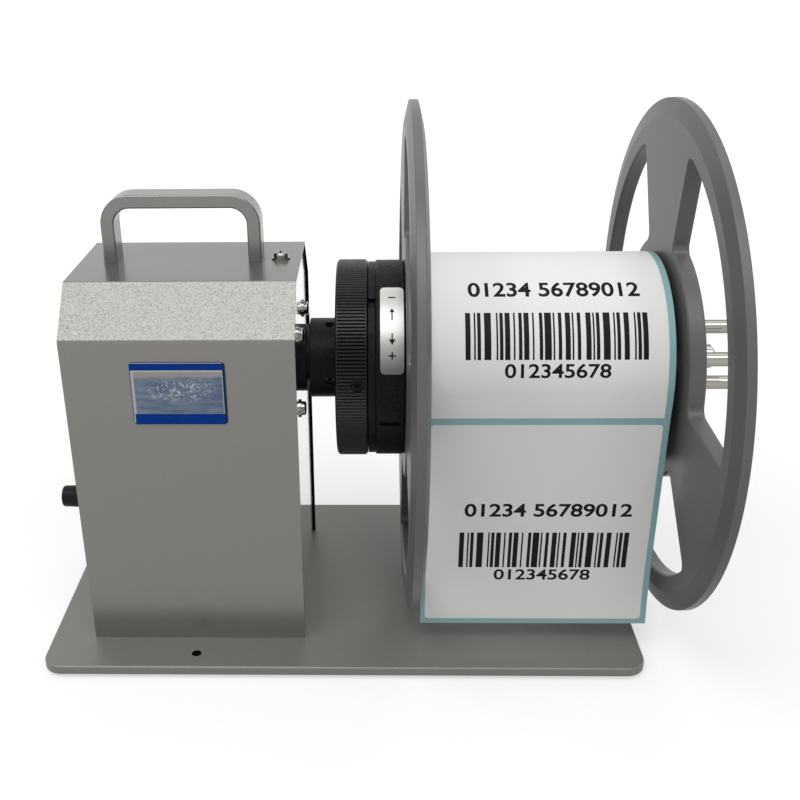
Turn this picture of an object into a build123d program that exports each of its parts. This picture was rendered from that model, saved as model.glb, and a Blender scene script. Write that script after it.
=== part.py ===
from build123d import *
import math
import os

# Bench label rewinder, in millimetres. +X runs along the spindle from the drive housing to the
# free end, +Y away from the user, +Z up. The origin is on the bench, under the spindle axis,
# midway along the whole length.

os.makedirs("parts", exist_ok=True)

# ---- driving dimensions -------------------------------------------------------------------

base_length = 300.0
base_depth = 161.0
base_thickness = 4.6
base_corner = 10.0
base_x = -25.0
base_y = 3.0
foot_height = 2.5
foot_radius = 8.0
foot_inset = 16.0
bench_hole_radius = 2.4
bench_hole_pitch = 133.0

housing_width = 108.0
housing_depth = 107.2
housing_x = -98.7
crease_z = 170.2
housing_top_z = 192.0
top_half_depth = 33.2
cover_wall = 1.2
side_inset = 1.2
right_plate_thickness = 2.0
left_plate_thickness = 1.5

spindle_z = 140.8
shaft_radius = 6.0
running_gap = 0.05
shaft_end_x = 161.3

flange_radius = 125.75
flange_thickness = 8.0
flange_rim_width = 4.0
flange_bevel = 8.5
window_outer_radius = 108.5
window_inner_radius = 60.5
spoke_angle = 40.0
inner_flange_x = 5.9
outer_flange_x = 131.5
outer_flange_lean = (-1.05, 1.0)
inner_spoke_at = 60.0
outer_spoke_at = 84.0

ring_radius = 49.3
rib_count = 180
rib_depth = 0.55
collar_width = 1.0
ring_left_x = -27.2
ring_right_x = -11.9
index_radius = 48.2
guide_left_x = -8.5
guide_radius = 49.0

rod_radius = 3.5
rod_reach = 20.0
rod_end_x = 175.0
first_rod_at = 43.6
core_wall = 3.0
roll_radius = 52.2
roll_left_x = 14.4
roll_right_x = 128.4

gear_module = 1.25
pinion_teeth = 10
wheel_teeth = 30
pressure_angle = 25.0
backlash = 0.16

# ---- places worked out from them ----------------------------------------------------------

base_top_z = foot_height + base_thickness
housing_left_x = housing_x - housing_width / 2
housing_right_x = housing_x + housing_width / 2
half_depth = housing_depth / 2
right_plate_x = housing_right_x - side_inset
right_plate_inner_x = right_plate_x - right_plate_thickness
left_plate_x = housing_left_x + side_inset
left_plate_inner_x = left_plate_x + left_plate_thickness
rod_circle = rod_reach - rod_radius
rod_angles = [first_rod_at + 120.0 * k for k in range(3)]
gear_centres = gear_module * (pinion_teeth + wheel_teeth) / 2


def spindle_plane(x):
    """Plane square to the spindle at station x: local x is +Y, local y is +Z."""
    return Plane(origin=(x, 0, spindle_z), x_dir=(0, 1, 0), z_dir=(1, 0, 0))


def axial_plane(x):
    """Upright plane holding the spindle axis, from station x: local x is +X, local y is +Z."""
    return Plane(origin=(x, 0, spindle_z), x_dir=(1, 0, 0), z_dir=(0, -1, 0))


def side_plane(x, y=0.0, z=0.0):
    """Plane square to +X through (x, y, z): local x is +Y, local y is +Z."""
    return Plane(origin=(x, y, z), x_dir=(0, 1, 0), z_dir=(1, 0, 0))


def save(piece, name):
    """Label a finished piece and write it to its own file."""
    piece.part.label = name
    export_step(piece.part, f"parts/{name}.step")


def polar_point(radius, angle):
    """Point on a plane at a radius and an angle in degrees."""
    a = math.radians(angle)
    return (radius * math.cos(a), radius * math.sin(a))


# ---- base ---------------------------------------------------------------------------------

foot_x = base_length / 2 - foot_inset
foot_y = base_depth / 2 - foot_inset
corners = [(base_x + i * foot_x, base_y + j * foot_y) for i in (-1, 1) for j in (-1, 1)]
bench_holes = [(housing_x, j * bench_hole_pitch / 2) for j in (-1, 1)]

lug_depth = 14.0
lug_y = 38.0
lug_thickness = 3.0
right_lug_x = right_plate_inner_x - lug_depth / 2
left_lug_x = left_plate_inner_x + lug_depth / 2
base_screw_points = [(x, j * lug_y) for x in (left_lug_x, right_lug_x) for j in (-1, 1)]
base_screw_radius = 2.0
base_screw_head = 3.8
base_screw_sink = 2.2

with BuildPart() as base_plate:
    with BuildSketch(Plane.XY.offset(foot_height)):
        with Locations((base_x, base_y)):
            RectangleRounded(base_length, base_depth, base_corner)
    extrude(amount=base_thickness)
    fillet(base_plate.faces().sort_by(Axis.Z)[-1].edges(), 1.2)
    with BuildSketch(Plane.XY.offset(foot_height)):
        with Locations(*bench_holes):
            Circle(bench_hole_radius)
        with Locations(*base_screw_points):
            Circle(base_screw_radius)
    extrude(amount=base_thickness, mode=Mode.SUBTRACT)
    with Locations(*[(x, y, foot_height + base_screw_sink / 2) for x, y in base_screw_points]):
        Cone(base_screw_head, base_screw_radius, base_screw_sink, mode=Mode.SUBTRACT)
save(base_plate, "base_plate")

with BuildPart() as rubber_feet:
    with BuildSketch():
        with Locations(*corners):
            Circle(foot_radius)
    extrude(amount=foot_height)
    chamfer(rubber_feet.edges().group_by(Axis.Z)[0], 0.5)
save(rubber_feet, "rubber_feet")

with BuildPart() as base_screws:
    with Locations(*[(x, y, foot_height + base_screw_sink / 2) for x, y in base_screw_points]):
        Cone(base_screw_head, base_screw_radius, base_screw_sink)
    with BuildSketch(Plane.XY.offset(foot_height + base_screw_sink)):
        with Locations(*base_screw_points):
            Circle(base_screw_radius)
    extrude(amount=base_thickness - base_screw_sink + lug_thickness)
save(base_screws, "base_screws")

# ---- housing: folded cover and two side plates ----------------------------------------------

handle_x = -101.8
handle_y = 3.2
handle_width = 77.0
handle_bar = 6.5
handle_depth = 14.5
handle_top_z = 225.1
handle_bend = 14.5
handle_screw_radius = 1.5
handle_legs = [handle_x + i * (handle_width - handle_bar) / 2 for i in (-1, 1)]
cover_screw_x = -54.6
cover_screw_y = 3.0
cover_screw_radius = 2.0
cover_screw_gap = 0.25


def housing_outline(shrink):
    """Six-sided outline of the housing seen from the side, drawn in by shrink."""
    slope = math.atan2(housing_top_z - crease_z, half_depth - top_half_depth)
    front = half_depth - shrink
    shoulder = crease_z - shrink * math.tan((math.pi / 2 - slope) / 2)
    crest = top_half_depth - shrink * math.tan(slope / 2)
    top = housing_top_z - shrink
    return [
        (-front, base_top_z),
        (-front, shoulder),
        (-crest, top),
        (crest, top),
        (front, shoulder),
        (front, base_top_z),
    ]


with BuildPart() as housing_cover:
    with BuildSketch(side_plane(housing_left_x)):
        Polygon(*housing_outline(0.0), align=None)
    extrude(amount=housing_width)
    with BuildSketch(side_plane(housing_left_x)):
        Polygon(*housing_outline(cover_wall), align=None)
    extrude(amount=housing_width, mode=Mode.SUBTRACT)
    creases = housing_cover.edges().filter_by(Axis.X)
    fillet(creases.group_by(Axis.Z)[-1], 1.2)
    shoulders = housing_cover.edges().filter_by(Axis.X)
    fillet(shoulders.filter_by(lambda edge: abs(edge.center().Z - crease_z) < 0.01), 3.0)
    with BuildSketch(Plane.XY.offset(housing_top_z - 3 * cover_wall)):
        with Locations((cover_screw_x, cover_screw_y)):
            Circle(cover_screw_radius + cover_screw_gap)
        with Locations(*[(x, handle_y) for x in handle_legs]):
            Circle(handle_screw_radius)
    extrude(amount=4 * cover_wall, mode=Mode.SUBTRACT)
save(housing_cover, "housing_cover")

plate_gap = 0.15
mount_offset = 19.5
mount_screw_radius = 2.0
nose_radius = 17.0
tab_half_width = 12.0


def side_outline():
    """Outline of a side plate, which sits just inside the cover."""
    return housing_outline(cover_wall + plate_gap)


with BuildPart() as right_side_plate:
    with BuildSketch(side_plane(right_plate_inner_x)):
        Polygon(*side_outline(), align=None)
    extrude(amount=right_plate_thickness)
    with BuildSketch(Plane.XY.offset(base_top_z)):
        with Locations((right_lug_x, 0)):
            Rectangle(lug_depth, 2 * (lug_y + 9))
    extrude(amount=lug_thickness)
    with BuildSketch(Plane.XY.offset(housing_top_z - cover_wall - plate_gap)):
        with Locations((right_lug_x, cover_screw_y)):
            Rectangle(lug_depth, 2 * tab_half_width)
    extrude(amount=-right_plate_thickness)
    with BuildSketch(spindle_plane(right_plate_inner_x)):
        Circle(nose_radius)
        with GridLocations(2 * mount_offset, 2 * mount_offset, 2, 2):
            Circle(mount_screw_radius)
    extrude(amount=right_plate_thickness, mode=Mode.SUBTRACT)
    with BuildSketch(Plane.XY.offset(base_top_z)):
        with Locations(*base_screw_points[2:]):
            Circle(base_screw_radius)
    extrude(amount=lug_thickness, mode=Mode.SUBTRACT)
    with BuildSketch(Plane.XY.offset(housing_top_z - 3 * cover_wall)):
        with Locations((cover_screw_x, cover_screw_y)):
            Circle(cover_screw_radius)
    extrude(amount=3 * cover_wall, mode=Mode.SUBTRACT)
save(right_side_plate, "right_side_plate")

control_z = 74.3
knob_y = -25.0
switch_y = 6.0
inlet_y = 34.0
bushing_radius = 3.5
switch_body = (19.0, 12.6)
inlet_radius = 4.0

with BuildPart() as left_side_plate:
    with BuildSketch(side_plane(left_plate_x)):
        Polygon(*side_outline(), align=None)
    extrude(amount=left_plate_thickness)
    with BuildSketch(Plane.XY.offset(base_top_z)):
        with Locations((left_lug_x, 0)):
            Rectangle(lug_depth, 2 * (lug_y + 9))
    extrude(amount=lug_thickness)
    with BuildSketch(side_plane(left_plate_x)):
        with Locations((knob_y, control_z)):
            Circle(bushing_radius)
        with Locations((switch_y, control_z)):
            Rectangle(*switch_body)
        with Locations((inlet_y, control_z)):
            Circle(inlet_radius)
    extrude(amount=left_plate_thickness, mode=Mode.SUBTRACT)
    with BuildSketch(Plane.XY.offset(base_top_z)):
        with Locations(*base_screw_points[:2]):
            Circle(base_screw_radius)
    extrude(amount=lug_thickness, mode=Mode.SUBTRACT)
save(left_side_plate, "left_side_plate")

# ---- cover screw, handle and name plate ------------------------------------------------------

washer_thickness = 0.8
washer_radius = 4.5
washer_teeth = 12
pan_head_radius = 3.5
pan_head_height = 2.4
cross_length = 3.8
cross_width = 0.9
cross_depth = 1.3


def cross_recess():
    """Add the outline of a cross recess to the sketch in progress."""
    Rectangle(cross_length, cross_width)
    Rectangle(cross_width, cross_length)


with BuildPart() as cover_washer:
    with BuildSketch(Plane.XY.offset(housing_top_z)):
        with Locations((cover_screw_x, cover_screw_y)):
            Circle(washer_radius)
            Circle(cover_screw_radius, mode=Mode.SUBTRACT)
    extrude(amount=washer_thickness)
save(cover_washer, "cover_washer")

with BuildPart() as cover_screw:
    with BuildSketch(Plane.XY.offset(housing_top_z + washer_thickness)):
        with Locations((cover_screw_x, cover_screw_y)):
            Circle(pan_head_radius)
    extrude(amount=pan_head_height)
    fillet(cover_screw.edges().group_by(Axis.Z)[-1], 1.2)
    with BuildSketch(Plane.XY.offset(housing_top_z + washer_thickness + pan_head_height)):
        with Locations((cover_screw_x, cover_screw_y)):
            cross_recess()
    extrude(amount=-cross_depth, mode=Mode.SUBTRACT)
    with BuildSketch(Plane.XY.offset(housing_top_z - 4.6)):
        with Locations((cover_screw_x, cover_screw_y)):
            Circle(cover_screw_radius)
    extrude(amount=4.6 + washer_thickness)
save(cover_screw, "cover_screw")

handle_height = handle_top_z - housing_top_z
handle_thread = 10.0

with BuildPart() as carry_handle:
    handle_side = Plane.XZ.offset(-handle_y - handle_depth / 2)
    with BuildSketch(handle_side) as bar:
        with Locations((handle_x, housing_top_z + handle_height / 2)):
            Rectangle(handle_width, handle_height)
        fillet(bar.vertices().group_by(Axis.Y)[-1], handle_bend)
    extrude(amount=handle_depth)
    with BuildSketch(handle_side) as grip_gap:
        with Locations((handle_x, housing_top_z + (handle_height - handle_bar) / 2)):
            Rectangle(handle_width - 2 * handle_bar, handle_height - handle_bar)
        fillet(grip_gap.vertices().group_by(Axis.Y)[-1], handle_bend - handle_bar)
    extrude(amount=handle_depth, mode=Mode.SUBTRACT)
    long_edges = carry_handle.edges().filter_by(Axis.Y, reverse=True)
    fillet(long_edges.filter_by(lambda edge: edge.center().Z > housing_top_z + 0.1), 1.0)
    with BuildSketch(Plane.XY.offset(housing_top_z)):
        with Locations(*[(x, handle_y) for x in handle_legs]):
            Circle(handle_screw_radius)
    extrude(amount=handle_thread, mode=Mode.SUBTRACT)
save(carry_handle, "carry_handle")

with BuildPart() as handle_screws:
    with BuildSketch(Plane.XY.offset(housing_top_z - cover_wall)):
        with Locations(*[(x, handle_y) for x in handle_legs]):
            Circle(pan_head_radius)
    extrude(amount=-pan_head_height)
    with BuildSketch(Plane.XY.offset(housing_top_z - cover_wall)):
        with Locations(*[(x, handle_y) for x in handle_legs]):
            Circle(handle_screw_radius)
    extrude(amount=cover_wall + handle_thread)
save(handle_screws, "handle_screws")

plate_x = -99.0
plate_z = 144.5
with BuildPart() as name_plate:
    with BuildSketch(Plane.XZ.offset(half_depth)):
        with Locations((plate_x, plate_z)):
            RectangleRounded(44.0, 31.0, 1.8)
    extrude(amount=0.6)
save(name_plate, "name_plate")

# ---- gearbox and motor -----------------------------------------------------------------------

case_half_width = 30.0
case_up = 30.0
case_down = 48.0
case_wall = 3.0
front_wall = 7.0
gear_cavity = 22.0
lid_thickness = 3.0
nose_end_x = -42.5
bush_radius = 9.0
idler_pin_radius = 2.5
lid_screw_radius = 1.5
lid_screw_inset = 4.5
case_x = right_plate_inner_x
cavity_x = case_x - front_wall
lid_x = cavity_x - gear_cavity
motor_x = lid_x - lid_thickness
case_height = case_up + case_down
case_centre = (0, (case_up - case_down) / 2)
lid_screw_spread = (2 * (case_half_width - lid_screw_inset), case_height - 2 * lid_screw_inset)
idler_seat = 4.0
motor_screw_circle = 12.5
motor_screw_radius = 1.5
motor_shaft_radius = 2.0

with BuildPart() as gearbox_case:
    with BuildSketch(spindle_plane(lid_x)):
        with Locations(case_centre):
            RectangleRounded(2 * case_half_width, case_height, 5.0)
    extrude(amount=front_wall + gear_cavity)
    with BuildSketch(spindle_plane(case_x)):
        Circle(nose_radius)
    extrude(amount=nose_end_x - case_x)
    with BuildSketch(spindle_plane(lid_x)):
        Circle(wheel_teeth * gear_module / 2 + 4)
        with Locations((0, -gear_centres)):
            Circle(wheel_teeth * gear_module / 2 + 3)
    extrude(amount=gear_cavity, mode=Mode.SUBTRACT)
    with BuildSketch(spindle_plane(cavity_x)):
        Circle(bush_radius)
    extrude(amount=nose_end_x - cavity_x, mode=Mode.SUBTRACT)
    with BuildSketch(spindle_plane(cavity_x)):
        with Locations((0, -gear_centres)):
            Circle(idler_pin_radius)
    extrude(amount=idler_seat, mode=Mode.SUBTRACT)
    with BuildSketch(spindle_plane(case_x)):
        with GridLocations(2 * mount_offset, 2 * mount_offset, 2, 2):
            Circle(mount_screw_radius)
    extrude(amount=-(front_wall - 1), mode=Mode.SUBTRACT)
    with BuildSketch(spindle_plane(lid_x)):
        with Locations(case_centre):
            with GridLocations(*lid_screw_spread, 2, 2):
                Circle(lid_screw_radius)
    extrude(amount=12.0, mode=Mode.SUBTRACT)
save(gearbox_case, "gearbox_case")

with BuildPart() as gearbox_lid:
    with BuildSketch(spindle_plane(motor_x)):
        with Locations(case_centre):
            RectangleRounded(2 * case_half_width, case_height, 5.0)
            with GridLocations(*lid_screw_spread, 2, 2):
                Circle(lid_screw_radius, mode=Mode.SUBTRACT)
        Circle(motor_shaft_radius + 0.5, mode=Mode.SUBTRACT)
        with Locations((0, -gear_centres)):
            Circle(idler_pin_radius, mode=Mode.SUBTRACT)
        with Locations((motor_screw_circle, 0), (-motor_screw_circle, 0)):
            Circle(motor_screw_radius, mode=Mode.SUBTRACT)
    extrude(amount=lid_thickness)
save(gearbox_lid, "gearbox_lid")

with BuildPart() as gearbox_screws:
    with BuildSketch(spindle_plane(motor_x - 2.0)):
        with Locations(case_centre):
            with GridLocations(*lid_screw_spread, 2, 2):
                Circle(2.8)
    extrude(amount=2.0)
    with BuildSketch(spindle_plane(motor_x)):
        with Locations(case_centre):
            with GridLocations(*lid_screw_spread, 2, 2):
                Circle(lid_screw_radius)
    extrude(amount=lid_thickness + 12.0)
save(gearbox_screws, "gearbox_screws")

with BuildPart() as gearbox_mount_washers:
    with BuildSketch(spindle_plane(right_plate_x)):
        with GridLocations(2 * mount_offset, 2 * mount_offset, 2, 2):
            Circle(washer_radius)
            Circle(mount_screw_radius, mode=Mode.SUBTRACT)
            with PolarLocations(washer_radius, washer_teeth):
                Rectangle(1.8, 0.9, mode=Mode.SUBTRACT)
    extrude(amount=washer_thickness)
save(gearbox_mount_washers, "gearbox_mount_washers")

with BuildPart() as gearbox_mount_screws:
    with BuildSketch(spindle_plane(right_plate_x + washer_thickness)):
        with GridLocations(2 * mount_offset, 2 * mount_offset, 2, 2):
            Circle(pan_head_radius)
    extrude(amount=pan_head_height)
    fillet(gearbox_mount_screws.edges().group_by(Axis.X)[-1], 1.2)
    with BuildSketch(spindle_plane(right_plate_x + washer_thickness + pan_head_height)):
        with GridLocations(2 * mount_offset, 2 * mount_offset, 2, 2):
            cross_recess()
    extrude(amount=-cross_depth, mode=Mode.SUBTRACT)
    with BuildSketch(spindle_plane(case_x - front_wall + 1.5)):
        with GridLocations(2 * mount_offset, 2 * mount_offset, 2, 2):
            Circle(mount_screw_radius)
    extrude(amount=front_wall - 1.5 + right_plate_thickness + washer_thickness)
save(gearbox_mount_screws, "gearbox_mount_screws")

bush_flange = 1.4
with BuildPart() as spindle_bush:
    with BuildSketch(spindle_plane(cavity_x)):
        Circle(bush_radius)
    extrude(amount=nose_end_x - cavity_x)
    with BuildSketch(spindle_plane(nose_end_x)):
        Circle(bush_radius + 2.5)
    extrude(amount=bush_flange)
    with BuildSketch(spindle_plane(cavity_x)):
        Circle(shaft_radius + running_gap)
    extrude(amount=nose_end_x - cavity_x + bush_flange, mode=Mode.SUBTRACT)
save(spindle_bush, "spindle_bush")

with BuildPart() as idler_pin:
    with BuildSketch(spindle_plane(motor_x)):
        with Locations((0, -gear_centres)):
            Circle(idler_pin_radius)
    extrude(amount=lid_thickness + gear_cavity + idler_seat)
save(idler_pin, "idler_pin")

motor_radius = 21.0
motor_length = 50.0
motor_bore_depth = 30.0
motor_screw_depth = 6.0
with BuildPart() as motor_can:
    with BuildSketch(spindle_plane(motor_x)):
        Circle(motor_radius)
    extrude(amount=-motor_length)
    fillet(motor_can.edges().group_by(Axis.X)[0], 2.0)
    with BuildSketch(spindle_plane(motor_x)):
        Circle(motor_shaft_radius + running_gap)
    extrude(amount=-motor_bore_depth, mode=Mode.SUBTRACT)
    with BuildSketch(spindle_plane(motor_x)):
        with Locations((motor_screw_circle, 0), (-motor_screw_circle, 0)):
            Circle(motor_screw_radius)
    extrude(amount=-motor_screw_depth, mode=Mode.SUBTRACT)
save(motor_can, "motor_can")

motor_back_x = motor_x - motor_length
with BuildPart() as motor_end_cap:
    with BuildSketch(spindle_plane(motor_back_x)):
        Circle(16.0)
    extrude(amount=-4.0)
    with BuildSketch(spindle_plane(motor_back_x - 4.0)):
        with Locations((-8, 0), (8, 0)):
            Rectangle(0.8, 4.0)
    extrude(amount=-5.0)
save(motor_end_cap, "motor_end_cap")

with BuildPart() as motor_screws:
    with BuildSketch(spindle_plane(lid_x)):
        with Locations((motor_screw_circle, 0), (-motor_screw_circle, 0)):
            Circle(2.8)
    extrude(amount=1.8)
    with BuildSketch(spindle_plane(motor_x - motor_screw_depth)):
        with Locations((motor_screw_circle, 0), (-motor_screw_circle, 0)):
            Circle(motor_screw_radius)
    extrude(amount=motor_screw_depth + lid_thickness)
save(motor_screws, "motor_screws")

# ---- gear train: motor pinion, compound idler, output gear ------------------------------------


def tooth_half_angle(teeth, radius):
    """Half the angle that one involute tooth covers at a radius, in radians."""
    pitch_radius = gear_module * teeth / 2
    flank = math.radians(pressure_angle)
    base_radius = pitch_radius * math.cos(flank)
    at = math.acos(min(1.0, base_radius / radius))
    involute = (math.tan(flank) - flank) - (math.tan(at) - at)
    return math.pi / (2 * teeth) + involute - backlash / (2 * pitch_radius)


def tooth_outline(teeth):
    """One tooth pointing along +X, from under the root circle to the tip."""
    pitch_radius = gear_module * teeth / 2
    root = pitch_radius - 1.2 * gear_module
    tip = pitch_radius + 0.95 * gear_module
    side = []
    for radius in (root - 0.3, max(root, pitch_radius * 0.94), pitch_radius, tip):
        half = tooth_half_angle(teeth, radius)
        side.append((radius * math.cos(half), radius * math.sin(half)))
    mirrored = [(x, -y) for x, y in side]
    return mirrored + side[::-1]


def gear_blank(teeth, turn):
    """Add a whole gear outline to the sketch in progress, its first tooth at turn degrees."""
    Circle(gear_module * teeth / 2 - 1.2 * gear_module)
    outline = tooth_outline(teeth)
    with PolarLocations(0, teeth, start_angle=turn):
        Polygon(*outline, align=None)


half_pitch_turn = 180.0 / pinion_teeth
output_gear_x = cavity_x - 8.6
output_face = 7.0
motor_gear_x = lid_x + 4.9
motor_face = 6.0

with BuildPart() as output_gear:
    with BuildSketch(spindle_plane(output_gear_x)):
        gear_blank(wheel_teeth, 0.0)
    extrude(amount=output_face)
    with BuildSketch(spindle_plane(output_gear_x + output_face)):
        Circle(9.0)
    extrude(amount=1.3)
    with BuildSketch(spindle_plane(output_gear_x)):
        Circle(shaft_radius)
    extrude(amount=output_face + 1.3, mode=Mode.SUBTRACT)
save(output_gear, "output_gear")

with BuildPart() as idler_gear:
    with BuildSketch(spindle_plane(motor_gear_x)):
        with Locations((0, -gear_centres)):
            gear_blank(wheel_teeth, 0.0)
    extrude(amount=motor_face)
    with BuildSketch(spindle_plane(motor_gear_x + motor_face)):
        with Locations((0, -gear_centres)):
            gear_blank(pinion_teeth, half_pitch_turn)
    extrude(amount=output_gear_x + output_face + 0.5 - motor_gear_x - motor_face)
    with BuildSketch(spindle_plane(lid_x + 0.3)):
        with Locations((0, -gear_centres)):
            Circle(4.5)
    extrude(amount=gear_cavity - 0.6)
    with BuildSketch(spindle_plane(lid_x)):
        with Locations((0, -gear_centres)):
            Circle(idler_pin_radius + running_gap)
    extrude(amount=gear_cavity, mode=Mode.SUBTRACT)
save(idler_gear, "idler_gear")

motor_pinion_face = motor_face + 0.6
with BuildPart() as motor_pinion:
    with BuildSketch(spindle_plane(motor_gear_x - 0.3)):
        gear_blank(pinion_teeth, half_pitch_turn)
        Circle(motor_shaft_radius, mode=Mode.SUBTRACT)
    extrude(amount=motor_pinion_face)
save(motor_pinion, "motor_pinion")

with BuildPart() as motor_shaft:
    with BuildSketch(spindle_plane(motor_x - motor_bore_depth + 0.3)):
        Circle(motor_shaft_radius)
    extrude(amount=motor_bore_depth - 0.3 + lid_thickness + 4.9 - 0.3 + motor_pinion_face)
save(motor_shaft, "motor_shaft")

# ---- controls on the left side ----------------------------------------------------------------

knob_radius = 5.9
knob_tip_x = -168.8
knob_base_x = -153.5
nut_thickness = 1.6
pot_shaft_radius = 3.0

with BuildPart() as potentiometer:
    with BuildSketch(side_plane(left_plate_inner_x, knob_y, control_z)):
        Circle(8.0)
    extrude(amount=8.0)
    with BuildSketch(side_plane(left_plate_inner_x, knob_y, control_z)):
        Circle(bushing_radius)
    extrude(amount=-(left_plate_thickness + nut_thickness))
    with BuildSketch(side_plane(left_plate_x - nut_thickness, knob_y, control_z)):
        Circle(pot_shaft_radius + running_gap)
    extrude(amount=7.0, mode=Mode.SUBTRACT)
save(potentiometer, "potentiometer")

with BuildPart() as potentiometer_nut:
    with BuildSketch(side_plane(left_plate_x, knob_y, control_z)):
        RegularPolygon(5.2, 6)
        Circle(bushing_radius, mode=Mode.SUBTRACT)
    extrude(amount=-nut_thickness)
save(potentiometer_nut, "potentiometer_nut")

flute_count = 14
knob_bore_depth = 11.0
with BuildPart() as speed_knob:
    with BuildSketch(side_plane(knob_base_x, knob_y, control_z)):
        Circle(knob_radius)
    extrude(amount=knob_tip_x - knob_base_x, taper=2.0)
    fillet(speed_knob.edges().group_by(Axis.X)[0], 1.0)
    with BuildSketch(side_plane(knob_base_x - 2.5, knob_y, control_z)):
        with PolarLocations(knob_radius + 0.15, flute_count):
            Circle(0.55)
    extrude(amount=knob_tip_x - knob_base_x, mode=Mode.SUBTRACT)
    with BuildSketch(side_plane(knob_tip_x, knob_y, control_z)):
        with Locations((0, 2.6)):
            Rectangle(0.9, 4.6)
    extrude(amount=0.5, mode=Mode.SUBTRACT)
    with BuildSketch(side_plane(knob_base_x, knob_y, control_z)):
        Circle(pot_shaft_radius)
    extrude(amount=-knob_bore_depth, mode=Mode.SUBTRACT)
save(speed_knob, "speed_knob")

with BuildPart() as knob_shaft:
    with BuildSketch(side_plane(knob_base_x - knob_bore_depth, knob_y, control_z)):
        Circle(pot_shaft_radius)
    extrude(amount=left_plate_x - nut_thickness + 6.5 - (knob_base_x - knob_bore_depth))
save(knob_shaft, "knob_shaft")

bezel = (22.0, 15.4)
bezel_depth = 2.0
rocker_window = (17.2, 10.2)
rocker_depth = 11.0
rocker_pivot_x = left_plate_x + 1.0
rocker_pin_radius = 1.2
rocker_half = 7.8
rocker_height = 9.6

with BuildPart() as switch_housing:
    with BuildSketch(side_plane(left_plate_x - bezel_depth, switch_y, control_z)):
        RectangleRounded(*bezel, 1.5)
    extrude(amount=bezel_depth)
    with BuildSketch(side_plane(left_plate_x, switch_y, control_z)):
        Rectangle(*switch_body)
    extrude(amount=15.0)
    with BuildSketch(side_plane(left_plate_x - bezel_depth, switch_y, control_z)):
        Rectangle(*rocker_window)
    extrude(amount=rocker_depth, mode=Mode.SUBTRACT)
    with BuildSketch(Plane.XY.offset(control_z - switch_body[1] / 2)):
        with Locations((rocker_pivot_x, switch_y)):
            Circle(rocker_pin_radius + running_gap)
    extrude(amount=switch_body[1], mode=Mode.SUBTRACT)
    with BuildSketch(side_plane(left_plate_x + 15.0, switch_y, control_z)):
        with Locations((-6, 0), (0, 0), (6, 0)):
            Rectangle(0.8, 4.0)
    extrude(amount=6.0)
save(switch_housing, "switch_housing")

with BuildPart() as switch_rocker:
    with BuildSketch(Plane.XY.offset(control_z - rocker_height / 2)):
        with BuildLine():
            back = Polyline(
                (rocker_pivot_x - 4.6, switch_y + rocker_half),
                (rocker_pivot_x - 1.4, switch_y + rocker_half),
                (rocker_pivot_x + 2.6, switch_y + 3.4),
                (rocker_pivot_x + 2.6, switch_y - 3.4),
                (rocker_pivot_x - 1.4, switch_y - rocker_half),
                (rocker_pivot_x - 4.6, switch_y - rocker_half),
            )
            ThreePointArc(back @ 1, (rocker_pivot_x - 3.5, switch_y), back @ 0)
        make_face()
    extrude(amount=rocker_height)
    with BuildSketch(Plane.XY.offset(control_z - switch_body[1] / 2 + 0.1)):
        with Locations((rocker_pivot_x, switch_y)):
            Circle(rocker_pin_radius)
    extrude(amount=switch_body[1] - 0.2)
save(switch_rocker, "switch_rocker")

with BuildPart() as power_inlet:
    with BuildSketch(side_plane(left_plate_x, inlet_y, control_z)):
        Circle(5.8)
    extrude(amount=-2.2)
    with BuildSketch(side_plane(left_plate_x, inlet_y, control_z)):
        Circle(inlet_radius)
    extrude(amount=11.0)
    with BuildSketch(side_plane(left_plate_x - 2.2, inlet_y, control_z)):
        Circle(2.75)
        Circle(1.0, mode=Mode.SUBTRACT)
    extrude(amount=10.0, mode=Mode.SUBTRACT)
save(power_inlet, "power_inlet")

with BuildPart() as power_inlet_nut:
    with BuildSketch(side_plane(left_plate_inner_x, inlet_y, control_z)):
        RegularPolygon(6.4, 6)
        Circle(inlet_radius, mode=Mode.SUBTRACT)
    extrude(amount=2.2)
save(power_inlet_nut, "power_inlet_nut")

board_x = left_plate_inner_x + 8.0
board_thickness = 1.6
with BuildPart() as control_board:
    with BuildSketch(side_plane(board_x, knob_y - 2.0, control_z)):
        Rectangle(34.0, 44.0)
    extrude(amount=board_thickness)
save(control_board, "control_board")

with BuildPart() as board_components:
    with BuildSketch(side_plane(board_x + board_thickness, knob_y - 2.0, control_z)):
        with Locations((-9, 12), (-9, -2)):
            Circle(5.0)
    extrude(amount=13.0)
    with BuildSketch(side_plane(board_x + board_thickness, knob_y - 2.0, control_z)):
        with Locations((8, 10)):
            Rectangle(10.0, 16.0)
        with Locations((7, -13)):
            Rectangle(14.0, 9.0)
    extrude(amount=8.0)
save(board_components, "board_components")

# ---- spindle, hub neck and guide ring ----------------------------------------------------------

shaft_back_x = output_gear_x - 0.6
neck_left_x = nose_end_x + bush_flange + 0.2
neck_right_x = -27.5
neck_radius = 20.0
journal_radius = 14.0
neck_grub_x = -31.0
neck_grub_radius = 2.2
neck_grub_angles = (194.0, 104.0)

with BuildPart() as spindle_shaft:
    with BuildSketch(spindle_plane(shaft_back_x)):
        Circle(shaft_radius)
    extrude(amount=shaft_end_x - shaft_back_x)
    chamfer(spindle_shaft.edges().group_by(Axis.X)[-1], 1.5)
save(spindle_shaft, "spindle_shaft")


def radial_plane(x, angle):
    """Plane through the spindle axis at station x, facing outward along an angle."""
    a = math.radians(angle)
    return Plane(origin=(x, 0, spindle_z), x_dir=(1, 0, 0), z_dir=(0, math.cos(a), math.sin(a)))


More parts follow.
